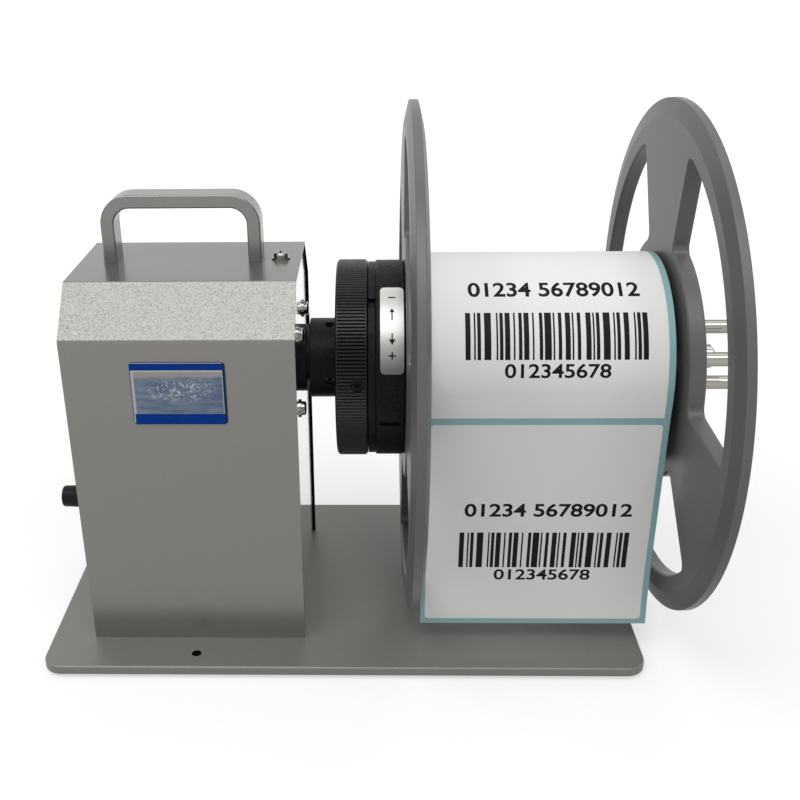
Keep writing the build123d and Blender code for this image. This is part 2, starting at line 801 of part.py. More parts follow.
with BuildPart() as hub_neck:
    with BuildSketch(spindle_plane(neck_left_x)):
        Circle(neck_radius)
    extrude(amount=neck_right_x - neck_left_x)
    chamfer(hub_neck.edges().group_by(Axis.X)[0], 0.3)
    with BuildSketch(spindle_plane(neck_right_x)):
        Circle(journal_radius)
    extrude(amount=guide_left_x - neck_right_x)
    with BuildSketch(spindle_plane(neck_left_x)):
        Circle(shaft_radius)
    extrude(amount=guide_left_x - neck_left_x, mode=Mode.SUBTRACT)
    for angle in neck_grub_angles:
        with BuildSketch(radial_plane(neck_grub_x, angle)):
            Circle(neck_grub_radius)
        extrude(amount=neck_radius + 1, mode=Mode.SUBTRACT)
save(hub_neck, "hub_neck")

with BuildPart() as hub_grub_screws:
    for angle in neck_grub_angles:
        with BuildSketch(radial_plane(neck_grub_x, angle).offset(shaft_radius)):
            Circle(neck_grub_radius)
        extrude(amount=neck_radius - shaft_radius - 1.2)
        with BuildSketch(radial_plane(neck_grub_x, angle).offset(neck_radius - 1.2)):
            RegularPolygon(1.45, 6)
        extrude(amount=-2.0, mode=Mode.SUBTRACT)
save(hub_grub_screws, "hub_grub_screws")

# The rods stand on a circle that the adjusting ring opens and closes. Each rod is fixed in a
# carrier that slides along a radial channel of the guide ring, and a pin on the carrier's back
# runs in one of three spiral slots in the ring's face.

pin_offset = 7.0
pin_radius = 2.5
slot_gap = 0.25
smallest_reach = 18.25
largest_reach = 38.0
sweep = 150.0
rod_travel_in = rod_reach - smallest_reach
rod_travel_out = largest_reach - rod_reach
spiral_rate = (largest_reach - smallest_reach) / sweep
carrier_width = 12.0
carrier_in = 6.5
carrier_out = pin_offset + 3.5
carrier_left_x = -8.2
carrier_right_x = 3.1
channel_right_x = 3.4
spiral_depth = 6.0


def spiral_points(angle):
    """Centre line of one spiral slot, for the rod whose guide lies at angle."""
    first = -rod_travel_out / spiral_rate
    last = rod_travel_in / spiral_rate
    steps = 10
    points = []
    for k in range(steps + 1):
        turn = first + (last - first) * k / steps
        points.append(polar_point(rod_circle + pin_offset - spiral_rate * turn, angle + turn))
    return points


plug_radius = 3.5
plug_x = -16.6
plug_angle = 173.5
plug_depth = 4.0

with BuildPart() as adjusting_ring:
    collar = ring_radius - rib_depth
    ring_width = ring_right_x - ring_left_x
    with BuildSketch(axial_plane(ring_left_x)):
        Polygon(
            (0, journal_radius + running_gap),
            (ring_width, journal_radius + running_gap),
            (ring_width, collar - 0.6),
            (ring_width - 0.6, collar),
            (ring_width - collar_width, collar),
            (ring_width - collar_width, ring_radius),
            (collar_width, ring_radius),
            (collar_width, collar),
            (0.6, collar),
            (0, collar - 0.6),
            align=None,
        )
    revolve(axis=Axis((ring_left_x, 0, spindle_z), (1, 0, 0)))
    with BuildSketch(spindle_plane(ring_left_x + collar_width)):
        with PolarLocations(ring_radius, rib_count):
            Polygon((-rib_depth, 0), (0.2, -0.62), (0.2, 0.62), align=None)
    extrude(amount=ring_width - 2 * collar_width, mode=Mode.SUBTRACT)
    with BuildSketch(spindle_plane(ring_right_x)):
        for angle in rod_angles:
            path = spiral_points(angle)
            with BuildLine():
                Spline(*path)
            trace(line_width=2 * (pin_radius + slot_gap))
            with Locations(path[0], path[-1]):
                Circle(pin_radius + slot_gap)
    extrude(amount=-spiral_depth, mode=Mode.SUBTRACT)
    with BuildSketch(radial_plane(plug_x, plug_angle).offset(ring_radius - plug_depth)):
        Circle(plug_radius)
    extrude(amount=6.0, mode=Mode.SUBTRACT)
save(adjusting_ring, "adjusting_ring")

with BuildPart() as ring_plug:
    with BuildSketch(radial_plane(plug_x, plug_angle).offset(ring_radius - plug_depth)):
        Circle(plug_radius)
    extrude(amount=3.0)
    with BuildSketch(radial_plane(plug_x, plug_angle).offset(ring_radius - 1.0)):
        RegularPolygon(1.7, 6)
    extrude(amount=-1.6, mode=Mode.SUBTRACT)
save(ring_plug, "ring_plug")


def radial_slot(angle, near, far, width):
    """Add a round-ended radial slot to the sketch in progress."""
    with Locations(polar_point((near + far) / 2, angle)):
        SlotCenterToCenter(far - near, width, rotation=angle)


pin_slot_near = rod_circle + pin_offset - rod_travel_in - 0.3
pin_slot_far = rod_circle + pin_offset + rod_travel_out + 0.3
notch_angle = 126.5

with BuildPart() as index_disc:
    with BuildSketch(spindle_plane(ring_right_x + 0.2)):
        Circle(index_radius)
        Circle(journal_radius, mode=Mode.SUBTRACT)
        with Locations(polar_point(index_radius, notch_angle)):
            Rectangle(5.0, 5.0, rotation=notch_angle, mode=Mode.SUBTRACT)
    extrude(amount=guide_left_x - ring_right_x - 0.2)
    with BuildSketch(spindle_plane(ring_right_x)):
        for angle in rod_angles:
            radial_slot(angle, pin_slot_near, pin_slot_far, 2 * (pin_radius + slot_gap))
    extrude(amount=guide_left_x - ring_right_x, mode=Mode.SUBTRACT)
save(index_disc, "index_disc")

rod_slot_near = rod_circle - rod_travel_in - 0.3
rod_slot_far = rod_circle + rod_travel_out + 0.3
rod_slot_width = 2 * (rod_radius + 0.3)
channel_near = rod_circle - rod_travel_in - carrier_in - 0.25
channel_far = rod_circle + rod_travel_out + carrier_out + 0.3
channel_width = carrier_width + 0.3
plate_thickness = 0.5
size_plate_from = 116.8
size_plate_to = 167.5
recess_angle = 197.0
flange_screw_circle = 43.0
flange_screw_angles = [angle + side for angle in rod_angles for side in (-38.0, 38.0)]
flange_screw_radius = 1.75
flange_screw_head = 3.4
flange_screw_sink = 1.7
flange_screw_depth = 9.0
flange_screw_points = [polar_point(flange_screw_circle, a) for a in flange_screw_angles]

with BuildPart() as guide_ring:
    with BuildSketch(spindle_plane(guide_left_x)):
        Circle(guide_radius)
        Circle(shaft_radius, mode=Mode.SUBTRACT)
    extrude(amount=inner_flange_x - guide_left_x)
    chamfer(guide_ring.edges().group_by(Axis.X)[0].sort_by(SortBy.LENGTH)[-1], 0.8)
    chamfer(guide_ring.edges().group_by(Axis.X)[-1].sort_by(SortBy.LENGTH)[-1], 0.8)
    with BuildSketch(spindle_plane(guide_left_x)):
        for angle in rod_angles:
            with Locations(polar_point((channel_near + channel_far) / 2, angle)):
                Rectangle(channel_far - channel_near, channel_width, rotation=angle)
    extrude(amount=channel_right_x - guide_left_x, mode=Mode.SUBTRACT)
    with BuildSketch(spindle_plane(channel_right_x)):
        for angle in rod_angles:
            radial_slot(angle, rod_slot_near, rod_slot_far, rod_slot_width)
    extrude(amount=inner_flange_x - channel_right_x, mode=Mode.SUBTRACT)
    with BuildSketch(spindle_plane(inner_flange_x)):
        with Locations(*flange_screw_points):
            Circle(flange_screw_radius)
    extrude(amount=-flange_screw_depth, mode=Mode.SUBTRACT)
    with BuildSketch(radial_plane(-1.2, recess_angle).offset(guide_radius - 1.2)):
        RectangleRounded(10.0, 4.6, 0.6)
    extrude(amount=4.0, mode=Mode.SUBTRACT)
save(guide_ring, "guide_ring")

with BuildPart() as size_plate:
    with BuildSketch(spindle_plane(-6.1)):
        with BuildLine():
            outer = CenterArc(
                (0, 0), guide_radius + plate_thickness, size_plate_from, size_plate_to - size_plate_from
            )
            inner = CenterArc((0, 0), guide_radius, size_plate_from, size_plate_to - size_plate_from)
            Line(outer @ 0, inner @ 0)
            Line(outer @ 1, inner @ 1)
        make_face()
    extrude(amount=11.0)
    corners_of_plate = size_plate.edges().filter_by(lambda edge: edge.length < 2 * plate_thickness)
    fillet(corners_of_plate, 2.2)
save(size_plate, "size_plate")

# ---- rods and their carriers --------------------------------------------------------------------

for number, angle in enumerate(rod_angles, start=1):
    centre = polar_point(rod_circle, angle)
    with BuildPart() as core_rod:
        with BuildSketch(spindle_plane(carrier_left_x)):
            with Locations(centre):
                Circle(rod_radius)
        extrude(amount=rod_end_x - carrier_left_x)
        chamfer(core_rod.edges().group_by(Axis.X)[-1], 0.8)
    save(core_rod, f"core_rod_{number}")

    with BuildPart() as rod_carrier:
        with BuildSketch(spindle_plane(carrier_left_x)):
            middle = rod_circle + (carrier_out - carrier_in) / 2
            with Locations(polar_point(middle, angle)):
                Rectangle(carrier_in + carrier_out, carrier_width, rotation=angle)
        extrude(amount=carrier_right_x - carrier_left_x)
        with BuildSketch(spindle_plane(carrier_left_x)):
            with Locations(polar_point(rod_circle + pin_offset, angle)):
                Circle(pin_radius)
        extrude(amount=ring_right_x - spiral_depth + 0.5 - carrier_left_x)
        with BuildSketch(spindle_plane(carrier_left_x)):
            with Locations(centre):
                Circle(rod_radius)
        extrude(amount=carrier_right_x - carrier_left_x, mode=Mode.SUBTRACT)
    save(rod_carrier, f"rod_carrier_{number}")

# ---- flanges ------------------------------------------------------------------------------------


def flange(x, spokes_at, screwed, lean):
    """Spoked flange with its left face at station x, leaning by two angles on square bores."""
    rim_start = (flange_thickness - flange_rim_width) / 2
    face_radius = flange_radius - flange_bevel
    with BuildPart() as disc:
        with BuildSketch(axial_plane(x)):
            Polygon(
                (0, 0),
                (flange_thickness, 0),
                (flange_thickness, face_radius),
                (flange_thickness - rim_start, flange_radius),
                (rim_start, flange_radius),
                (0, face_radius),
                align=None,
            )
        revolve(axis=Axis((x, 0, spindle_z), (1, 0, 0)))
        with BuildSketch(spindle_plane(x)) as windows:
            for k in range(3):
                start = spokes_at + spoke_angle / 2 + 120.0 * k
                with BuildLine():
                    far_arc = CenterArc((0, 0), window_outer_radius, start, 120.0 - spoke_angle)
                    near_arc = CenterArc((0, 0), window_inner_radius, start, 120.0 - spoke_angle)
                    Line(far_arc @ 0, near_arc @ 0)
                    Line(far_arc @ 1, near_arc @ 1)
                make_face()
            fillet(windows.vertices(), 4.0)
        extrude(amount=flange_thickness, mode=Mode.SUBTRACT)
        rounded = disc.edges().filter_by(
            lambda edge: abs(edge.center().X - x - flange_thickness / 2) > flange_thickness / 2 - 0.1
            and flange_radius - flange_bevel - 1 > edge_radius(edge) > 40.0
        )
        chamfer(rounded, 0.8)
    middle = (x + flange_thickness / 2, 0, spindle_z)
    leaning = disc.part.rotate(Axis(middle, (0, 1, 0)), lean[0])
    leaning = leaning.rotate(Axis(middle, (0, 0, 1)), lean[1])
    bore_start = x - 5.0
    bore_length = flange_thickness + 10.0
    with BuildPart() as bored:
        add(leaning)
        with BuildSketch(spindle_plane(bore_start)):
            Circle(shaft_radius + running_gap)
            for angle in rod_angles:
                radial_slot(angle, rod_slot_near, rod_slot_far, rod_slot_width)
        extrude(amount=bore_length, mode=Mode.SUBTRACT)
        if screwed:
            with BuildSketch(spindle_plane(x)):
                with Locations(*flange_screw_points):
                    Circle(flange_screw_radius)
            extrude(amount=flange_thickness, mode=Mode.SUBTRACT)
            for y, z in flange_screw_points:
                with BuildSketch(spindle_plane(x + flange_thickness)):
                    with Locations((y, z)):
                        Circle(flange_screw_head)
                with BuildSketch(spindle_plane(x + flange_thickness - flange_screw_sink)):
                    with Locations((y, z)):
                        Circle(flange_screw_radius)
                loft(mode=Mode.SUBTRACT)
    return bored


def edge_radius(edge):
    """Distance of an edge's middle from the spindle axis."""
    middle = edge @ 0.5
    return math.hypot(middle.Y, middle.Z - spindle_z)


inner_flange = flange(inner_flange_x, inner_spoke_at, True, (0.0, 0.0))
save(inner_flange, "inner_flange")

outer_flange = flange(outer_flange_x, outer_spoke_at, False, outer_flange_lean)
save(outer_flange, "outer_flange")

flange_face_x = inner_flange_x + flange_thickness
with BuildPart() as inner_flange_screws:
    for y, z in flange_screw_points:
        with BuildSketch(spindle_plane(flange_face_x)):
            with Locations((y, z)):
                Circle(flange_screw_head)
        with BuildSketch(spindle_plane(flange_face_x - flange_screw_sink)):
            with Locations((y, z)):
                Circle(flange_screw_radius)
        loft()
    with BuildSketch(spindle_plane(flange_face_x - flange_screw_sink)):
        with Locations(*flange_screw_points):
            Circle(flange_screw_radius)
    extrude(amount=-(flange_thickness - flange_screw_sink + flange_screw_depth - 0.5))
save(inner_flange_screws, "inner_flange_screws")

# ---- wound labels -------------------------------------------------------------------------------

core_gap = 0.3
core_bore = rod_reach + core_gap
core_radius = core_bore + core_wall
roll_length = roll_right_x - roll_left_x

with BuildPart() as label_core:
    with BuildSketch(spindle_plane(roll_left_x)):
        Circle(core_radius)
        Circle(core_bore, mode=Mode.SUBTRACT)
    extrude(amount=roll_length)
save(label_core, "label_core")

with BuildPart() as label_roll:
    with BuildSketch(spindle_plane(roll_left_x)):
        Circle(roll_radius)
        Circle(core_radius, mode=Mode.SUBTRACT)
    extrude(amount=roll_length)
save(label_roll, "label_roll")

web_gap = 0.3
web_thickness = 0.5
web_left_x = 15.0
web_right_x = 128.2
web_back = -(roll_radius + web_gap)
web_front = web_back - web_thickness
web_straight = 85.0
web_drop = 122.8
web_bow = 3.0

with BuildPart() as label_web:
    with BuildSketch(spindle_plane(web_left_x)):
        with BuildLine():
            back_line = Line((web_back, 0), (web_back, -web_straight))
            back_end = (web_back - web_bow, -web_drop)
            back_arc = TangentArc(back_line @ 1, back_end, tangent=(0, -1))
            front_line = Line((web_front, 0), (web_front, -web_straight))
            front_end = (web_front - web_bow, -web_drop)
            front_arc = TangentArc(front_line @ 1, front_end, tangent=(0, -1))
            Line(back_line @ 0, front_line @ 0)
            Line(back_arc @ 1, front_arc @ 1)
        make_face()
    extrude(amount=web_right_x - web_left_x)
save(label_web, "label_web")
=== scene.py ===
"""Looks of a bench label rewinder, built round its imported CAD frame. All lengths are in metres."""

import logging
import math
from dataclasses import dataclass, field
from enum import Enum
from typing import Callable, Iterable, Optional, Sequence

import bmesh
import bpy
from mathutils import Matrix, Vector


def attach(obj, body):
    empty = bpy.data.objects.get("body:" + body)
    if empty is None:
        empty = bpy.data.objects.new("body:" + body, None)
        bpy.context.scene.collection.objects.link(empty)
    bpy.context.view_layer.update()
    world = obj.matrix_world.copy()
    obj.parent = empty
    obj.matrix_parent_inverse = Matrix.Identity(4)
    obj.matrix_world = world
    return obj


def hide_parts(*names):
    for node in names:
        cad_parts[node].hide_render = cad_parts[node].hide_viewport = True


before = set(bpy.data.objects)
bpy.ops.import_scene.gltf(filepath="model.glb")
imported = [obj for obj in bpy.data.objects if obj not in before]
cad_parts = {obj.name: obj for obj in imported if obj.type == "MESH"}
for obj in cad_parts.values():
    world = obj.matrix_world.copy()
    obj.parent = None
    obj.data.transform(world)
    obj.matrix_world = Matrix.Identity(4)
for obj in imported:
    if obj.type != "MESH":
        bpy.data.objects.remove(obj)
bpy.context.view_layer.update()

log = logging.getLogger("rewinder")

Colour = tuple[float, float, float]
Span = tuple[float, float]
Warp = Callable[[float, float, float], Vector]

SPINDLE_HEIGHT = 0.1408
WELD_REACH = 2e-6
FLAT_ANGLE = 0.6
FIGURE_STEP = 0.002


# ---- shader groups ---------------------------------------------------------------------------


class Sheet:
    """A node tree with short calls to add and join nodes."""

    def __init__(self, tree: bpy.types.NodeTree) -> None:
        """Start on a tree.

        Args:
            tree: the material's or group's node tree.
        """
        self.tree = tree

    def feed(self, socket: bpy.types.NodeSocket, value: object) -> None:
        """Join another node's output to a socket, or set its value.

        Args:
            socket: the socket.
            value: the output or the value.
        """
        if isinstance(value, bpy.types.NodeSocket):
            self.tree.links.new(value, socket)
        else:
            socket.default_value = value

    def add(self, kind: str, inputs: Optional[dict] = None, **settings: object) -> bpy.types.Node:
        """Add a node.

        Args:
            kind: the node's type name, without the ShaderNode prefix.
            inputs: socket name or number to a value or to another node's output.
            settings: properties set on the node itself.

        Returns:
            The new node.
        """
        node = self.tree.nodes.new("ShaderNode" + kind)
        for key, value in settings.items():
            setattr(node, key, value)
        for key, value in (inputs or {}).items():
            self.feed(node.inputs[key], value)
        return node

    def math(self, operation: str, first: object, second: object = 0.0, clamp: bool = False) -> object:
        """Join a Math node and return its output."""
        node = self.add("Math", {0: first, 1: second}, operation=operation, use_clamp=clamp)
        return node.outputs[0]

    def noise(self, vector: object, scale: float, detail: float = 2.0, roughness: float = 0.5) -> object:
        """Join a Noise node and return its value."""
        node = self.add("TexNoise", {"Vector": vector, "Scale": scale, "Detail": detail, "Roughness": roughness})
        return node.outputs["Fac"]

    def span(self, value: object, low: float, high: float, to_low: float = 0.0, to_high: float = 1.0) -> object:
        """Map a value from one range to another, held at the ends, and return it."""
        node = self.add("MapRange", {0: value, 1: low, 2: high, 3: to_low, 4: to_high})
        return node.outputs[0]

    def mix(self, factor: object, first: object, second: object) -> object:
        """Mix two colours and return the result."""
        node = self.add("Mix", data_type="RGBA")
        for number, value in ((0, factor), (6, first), (7, second)):
            self.feed(node.inputs[number], (*value, 1.0) if isinstance(value, tuple) else value)
        return node.outputs[2]


def new_group(name: str, inputs: dict[str, str],
              outputs: dict[str, str]) -> tuple[bpy.types.NodeTree, Sheet, object, object]:
    """Start a shader node group.

    Args:
        name: the group's name.
        inputs: socket name to socket type, Float, Vector or Color.
        outputs: the same for the outputs.

    Returns:
        The tree, its sheet, its group input node and its group output node.
    """
    tree = bpy.data.node_groups.new(name, "ShaderNodeTree")
    for key, kind in inputs.items():
        tree.interface.new_socket(name=key, in_out="INPUT", socket_type="NodeSocket" + kind)
    for key, kind in outputs.items():
        tree.interface.new_socket(name=key, in_out="OUTPUT", socket_type="NodeSocket" + kind)
    start = tree.nodes.new("NodeGroupInput")
    end = tree.nodes.new("NodeGroupOutput")
    return tree, Sheet(tree), start, end


def speckle_group() -> bpy.types.NodeTree:
    """Fine spots of metallic or powder paint: a value around zero and a height."""
    tree, sheet, start, end = new_group(
        "fine_speckle", {"Place": "Vector", "Size": "Float"}, {"Spots": "Float", "Height": "Float"}
    )
    scale = sheet.math("DIVIDE", 1.0, start.outputs["Size"])
    cells = sheet.add("TexVoronoi", {"Vector": start.outputs["Place"], "Scale": scale, "Randomness": 1.0})
    spots = sheet.add("SeparateColor", {0: cells.outputs["Color"]}).outputs[0]
    soft = sheet.add("TexNoise", {"Vector": start.outputs["Place"], "Scale": scale, "Detail": 3.0})
    both = sheet.math("ADD", sheet.math("MULTIPLY", spots, 0.6), sheet.math("MULTIPLY", soft.outputs["Fac"], 0.4))
    sheet.feed(end.inputs["Spots"], sheet.math("SUBTRACT", both, 0.5))
    sheet.feed(end.inputs["Height"], soft.outputs["Fac"])
    return tree


def brush_group() -> bpy.types.NodeTree:
    """Fine parallel lines of brushed metal: a value around zero."""
    tree, sheet, start, end = new_group("brushed_lines", {"Place": "Vector"}, {"Lines": "Float"})
    fine = sheet.noise(start.outputs["Place"], 1.0, 5.0, 0.7)
    sheet.feed(end.inputs["Lines"], sheet.math("SUBTRACT", fine, 0.5))
    return tree


def wear_group() -> bpy.types.NodeTree:
    """Bright rubbed edges: a mask that is one on a sharp edge, broken up by noise."""
    tree, sheet, start, end = new_group(
        "edge_wear", {"Place": "Vector", "Reach": "Float", "Spread": "Float"}, {"Mask": "Float"}
    )
    rounded = sheet.add("Bevel", {"Radius": start.outputs["Reach"]}, samples=6)
    flat = sheet.add("NewGeometry")
    same = sheet.add("VectorMath", {0: rounded.outputs[0], 1: flat.outputs["Normal"]}, operation="DOT_PRODUCT")
    edge = sheet.math("SUBTRACT", 1.0, same.outputs["Value"])
    chips = sheet.noise(start.outputs["Place"], 260.0, 4.0, 0.6)
    amount = sheet.math("MULTIPLY", edge, sheet.span(chips, 0.35, 0.7, 0.3, 2.4))
    mask = sheet.math("MULTIPLY", sheet.span(amount, 0.05, 0.25), start.outputs["Spread"])
    sheet.feed(end.inputs["Mask"], mask)
    return tree


def smudge_group() -> bpy.types.NodeTree:
    """Broad handling marks: a value around zero."""
    tree, sheet, start, end = new_group("smudges", {"Place": "Vector"}, {"Value": "Float"})
    broad = sheet.noise(start.outputs["Place"], 9.0, 5.0, 0.62)
    sheet.feed(end.inputs["Value"], sheet.math("SUBTRACT", broad, 0.5))
    return tree


def flake_group() -> bpy.types.NodeTree:
    """Metal flakes in paint: a normal that tilts a little from one small cell to the next."""
    tree, sheet, start, end = new_group(
        "metal_flakes", {"Place": "Vector", "Size": "Float", "Tilt": "Float"}, {"Normal": "Vector"}
    )
    scale = sheet.math("DIVIDE", 1.0, start.outputs["Size"])
    cells = sheet.add("TexVoronoi", {"Vector": start.outputs["Place"], "Scale": scale, "Randomness": 1.0})
    centred = sheet.add("VectorMath", {0: cells.outputs["Color"], 1: (0.5, 0.5, 0.5)}, operation="SUBTRACT")
    tilt = sheet.add("VectorMath", {0: centred.outputs[0], "Scale": start.outputs["Tilt"]}, operation="SCALE")
    normal = sheet.add("NewGeometry").outputs["Normal"]
    tilted = sheet.add("VectorMath", {0: normal, 1: tilt.outputs[0]}, operation="ADD")
    unit = sheet.add("VectorMath", {0: tilted.outputs[0]}, operation="NORMALIZE")
    sheet.feed(end.inputs["Normal"], unit.outputs[0])
    return tree


def axis_distance_group() -> bpy.types.NodeTree:
    """Distance from the spindle axis, for layers, turning marks and rings."""
    tree, sheet, start, end = new_group("axis_distance", {"Place": "Vector"}, {"Radius": "Float"})
    moved = sheet.add(
        "Mapping", {"Vector": start.outputs["Place"], "Location": (0, 0, -SPINDLE_HEIGHT), "Scale": (0, 1, 1)}
    )
    length = sheet.add("VectorMath", {0: moved.outputs[0]}, operation="LENGTH")
    sheet.feed(end.inputs["Radius"], length.outputs["Value"])
    return tree


GROUPS = {
    "speckle": speckle_group(),
    "brush": brush_group(),
    "wear": wear_group(),
    "smudge": smudge_group(),
    "flakes": flake_group(),
    "axis": axis_distance_group(),
}


class Grain(Enum):
    """Which way the fine lines of a finish run, or that it has none."""

    NONE = (1.0, 1.0, 1.0)
    ALONG_X = (30.0, 2600.0, 2600.0)
    ALONG_Z = (2600.0, 2600.0, 30.0)


@dataclass(frozen=True)
class Finish:
    """One surface finish, from its colour to its wear.

    Attributes:
        name: what the finish is called.
        colour: base colour, linear.
        rough: roughness.
        metal: how metallic it is.
        coat: weight of the clear layer on top.
        coat_rough: roughness of that layer.
        spots: contrast of the fine spots in the colour.
        spot_size: width of a spot.
        bump: height of the fine texture.
        smudge: how far handling marks change the roughness.
        grain: the way of any brushed lines.
        grain_depth: contrast of those lines.
        wear: how much of the bare metal shows on edges.
        wear_reach: width of the worn edge.
        wear_colour: colour of the bare metal.
        specular: strength of the plain reflection, a half being usual.
        graze: how bright bare metal is when seen along its face.
        flake_tilt: how far the metal flakes in the paint lean.
        flake_size: width of a flake.
    """

    name: str
    colour: Colour
    rough: float
    metal: float = 0.0
    coat: float = 0.0
    coat_rough: float = 0.1
    spots: float = 0.0
    spot_size: float = 0.0006
    bump: float = 0.0
    smudge: float = 0.1
    grain: Grain = Grain.NONE
    grain_depth: float = 0.0
    wear: float = 0.0
    wear_reach: float = 0.0005
    wear_colour: Colour = (0.62, 0.61, 0.59)
    specular: float = 0.5
    graze: float = 1.0
    flake_tilt: float = 0.0
    flake_size: float = 0.0007

    def material(self) -> bpy.types.Material:
        """Build the finish's material, or return it if it is there already.

        Returns:
            The material.
        """
        known = bpy.data.materials.get(self.name)
        if known:
            return known
        made = bpy.data.materials.new(self.name)
        made.use_nodes = True
        made.node_tree.nodes.clear()
        sheet = Sheet(made.node_tree)
        place = sheet.add("TexCoord").outputs["Object"]
        colour, rough, height = self.surface(sheet, place)
        shader = sheet.add("BsdfPrincipled", {
            "Base Color": colour, "Roughness": rough, "Metallic": self.metal, "Coat Weight": self.coat,
            "Coat Roughness": self.coat_rough, "Specular IOR Level": self.specular,
            "Specular Tint": (self.graze, self.graze, self.graze, 1.0),
        })
        if self.flake_tilt:
            flakes = self.group(sheet, "flakes", Place=place, Size=self.flake_size, Tilt=self.lean(sheet, place))
            sheet.feed(shader.inputs["Normal"], flakes.outputs["Normal"])
        elif height is not None:
            bump = sheet.add("Bump", {"Height": height, "Strength": 0.6, "Distance": max(self.bump, 1e-6)})
            sheet.feed(shader.inputs["Normal"], bump.outputs[0])
        sheet.add("OutputMaterial", {0: shader.outputs[0]})
        return made

    def lean(self, sheet: Sheet, place: object) -> object:
        """Return how far the flakes lean, the same everywhere."""
        return self.flake_tilt

    def surface(self, sheet: Sheet, place: object) -> tuple[object, object, Optional[object]]:
        """Join the nodes for colour, roughness and height.

        Args:
            sheet: the material's tree.
            place: the Object coordinates.

        Returns:
            The colour, the roughness and the height, or None where the finish is smooth.
        """
        smudge = self.group(sheet, "smudge", Place=place).outputs["Value"]
        shade = sheet.math("MULTIPLY", smudge, self.smudge * 0.5)
        height = None
        if self.spots or self.bump:
            speckle = self.group(sheet, "speckle", Place=place, Size=self.spot_size)
            shade = sheet.math("ADD", shade, sheet.math("MULTIPLY", speckle.outputs["Spots"], self.spots))
            if self.bump:
                height = speckle.outputs["Height"]
        if self.grain is not Grain.NONE:
            stretched = sheet.add("Mapping", {"Vector": place, "Scale": self.grain.value})
            lines = self.group(sheet, "brush", Place=stretched.outputs[0]).outputs["Lines"]
            shade = sheet.math("ADD", shade, sheet.math("MULTIPLY", lines, self.grain_depth))
        light = tuple(min(1.0, part * 1.5) for part in self.colour)
        dark = tuple(part * 0.5 for part in self.colour)
        colour = sheet.mix(sheet.math("ADD", shade, 0.5, clamp=True), dark, light)
        rough = sheet.math("ADD", sheet.math("MULTIPLY", smudge, self.smudge), self.rough, clamp=True)
        if self.wear:
            mask = self.group(sheet, "wear", Place=place, Reach=self.wear_reach, Spread=self.wear).outputs["Mask"]
            colour = sheet.mix(mask, colour, self.wear_colour)
        return colour, rough, height

    @staticmethod
    def group(sheet: Sheet, name: str, **inputs: object) -> bpy.types.Node:
        """Place one of the shared shader groups with its own values."""
        return sheet.add("Group", inputs, node_tree=GROUPS[name])


@dataclass(frozen=True)
class SlopePaint(Finish):
    """Silver paint whose flakes show on the cover's two slopes and hardly on its flat faces.

    Attributes:
        flat_tilt: how far the flakes lean on the flat faces.
        slope: heights between which the slopes lie.
    """

    flat_tilt: float = 0.03
    slope: Span = (0.1702, 0.1915)

    def lean(self, sheet: Sheet, place: object) -> object:
        """Join how far the flakes lean, more on the slopes."""
        height = sheet.add("SeparateXYZ", {0: place}).outputs["Z"]
        above = sheet.span(height, self.slope[0] + 0.0001, self.slope[0] + 0.0012)
        below = sheet.span(height, self.slope[1] - 0.0002, self.slope[1] + 0.0003, 1.0, 0.0)
        return sheet.span(sheet.math("MULTIPLY", above, below), 0.0, 1.0, self.flat_tilt, self.flake_tilt)


SILVER_PAINT = SlopePaint("silver_flake_paint", (0.232, 0.225, 0.210), 0.30, metal=0.5, coat=0.12,
                          spots=0.1, smudge=0.05, flake_tilt=0.32, flake_size=0.00042)
# The cover's flat top takes a copy of the silver paint at about half its colour. That darker colour is painted shade,
# not a second paint.
SHADED_TOP_PAINT = Finish("silver_paint_shaded_top", (0.125, 0.121, 0.112), 0.3, metal=0.45, coat=0.5, coat_rough=0.04,
                   spots=0.05, smudge=0.05)
HANDLE_PAINT = Finish("handle_silver", (0.215, 0.21, 0.20), 0.26, metal=0.6, coat=0.15, coat_rough=0.12,
                      spots=0.06, spot_size=0.0005, bump=0.00002, smudge=0.05)
BASE_PAINT = Finish("base_grey_paint", (0.225, 0.22, 0.205), 0.42, metal=0.3, spots=0.14,
                    bump=0.00004, wear=0.35, specular=0.4)
FLANGE_PAINT = Finish("flange_grey_paint", (0.150, 0.145, 0.140), 0.38, metal=0.15, spots=0.1,
                      bump=0.00002, wear=0.7, wear_colour=(0.4, 0.39, 0.38),
                      specular=0.22)
POLISHED = Finish("polished_steel", (0.50, 0.49, 0.465), 0.12, metal=1.0, smudge=0.08, grain=Grain.ALONG_Z,
                  grain_depth=0.3, graze=0.62)
BRUSHED = Finish("brushed_steel", (0.34, 0.335, 0.325), 0.3, metal=1.0, grain=Grain.ALONG_Z,
                 grain_depth=0.35)
CHROME = Finish("bright_chrome", (0.33, 0.32, 0.285), 0.14, metal=1.0, smudge=0.04, graze=0.5)
TURNED = Finish("turned_steel", (0.42, 0.41, 0.39), 0.22, metal=1.0, smudge=0.08, spots=0.1, spot_size=0.0004)
SCREW = Finish("zinc_screw", (0.33, 0.32, 0.30), 0.16, metal=1.0, smudge=0.12, spots=0.08, spot_size=0.0004)
DARK_STEEL = Finish("oiled_steel", (0.045, 0.044, 0.042), 0.34, metal=0.9, smudge=0.15, spots=0.15,
                    spot_size=0.0005)
HUB_BLACK = Finish("black_blasted", (0.0035, 0.0034, 0.0036), 0.44, spots=0.3, spot_size=0.0005,
                   smudge=0.06, specular=0.13, flake_tilt=0.25, flake_size=0.0006)
RING_BLACK = Finish("black_knurled", (0.003, 0.003, 0.003), 0.32, spots=0.3, spot_size=0.0004,
                    smudge=0.06, specular=0.26, flake_tilt=0.14, flake_size=0.0006)
# Near-black painted shade, for places that lie in shadow: the cover's inside faces and the walls of the holes in the
# base plate.
PAINTED_SHADE_BLACK = Finish("painted_shade_inside", (0.006, 0.006, 0.006), 0.6, specular=0.1)
ALLOY = Finish("cast_alloy", (0.42, 0.42, 0.41), 0.48, metal=0.85, spots=0.2, spot_size=0.0012, bump=0.00008)
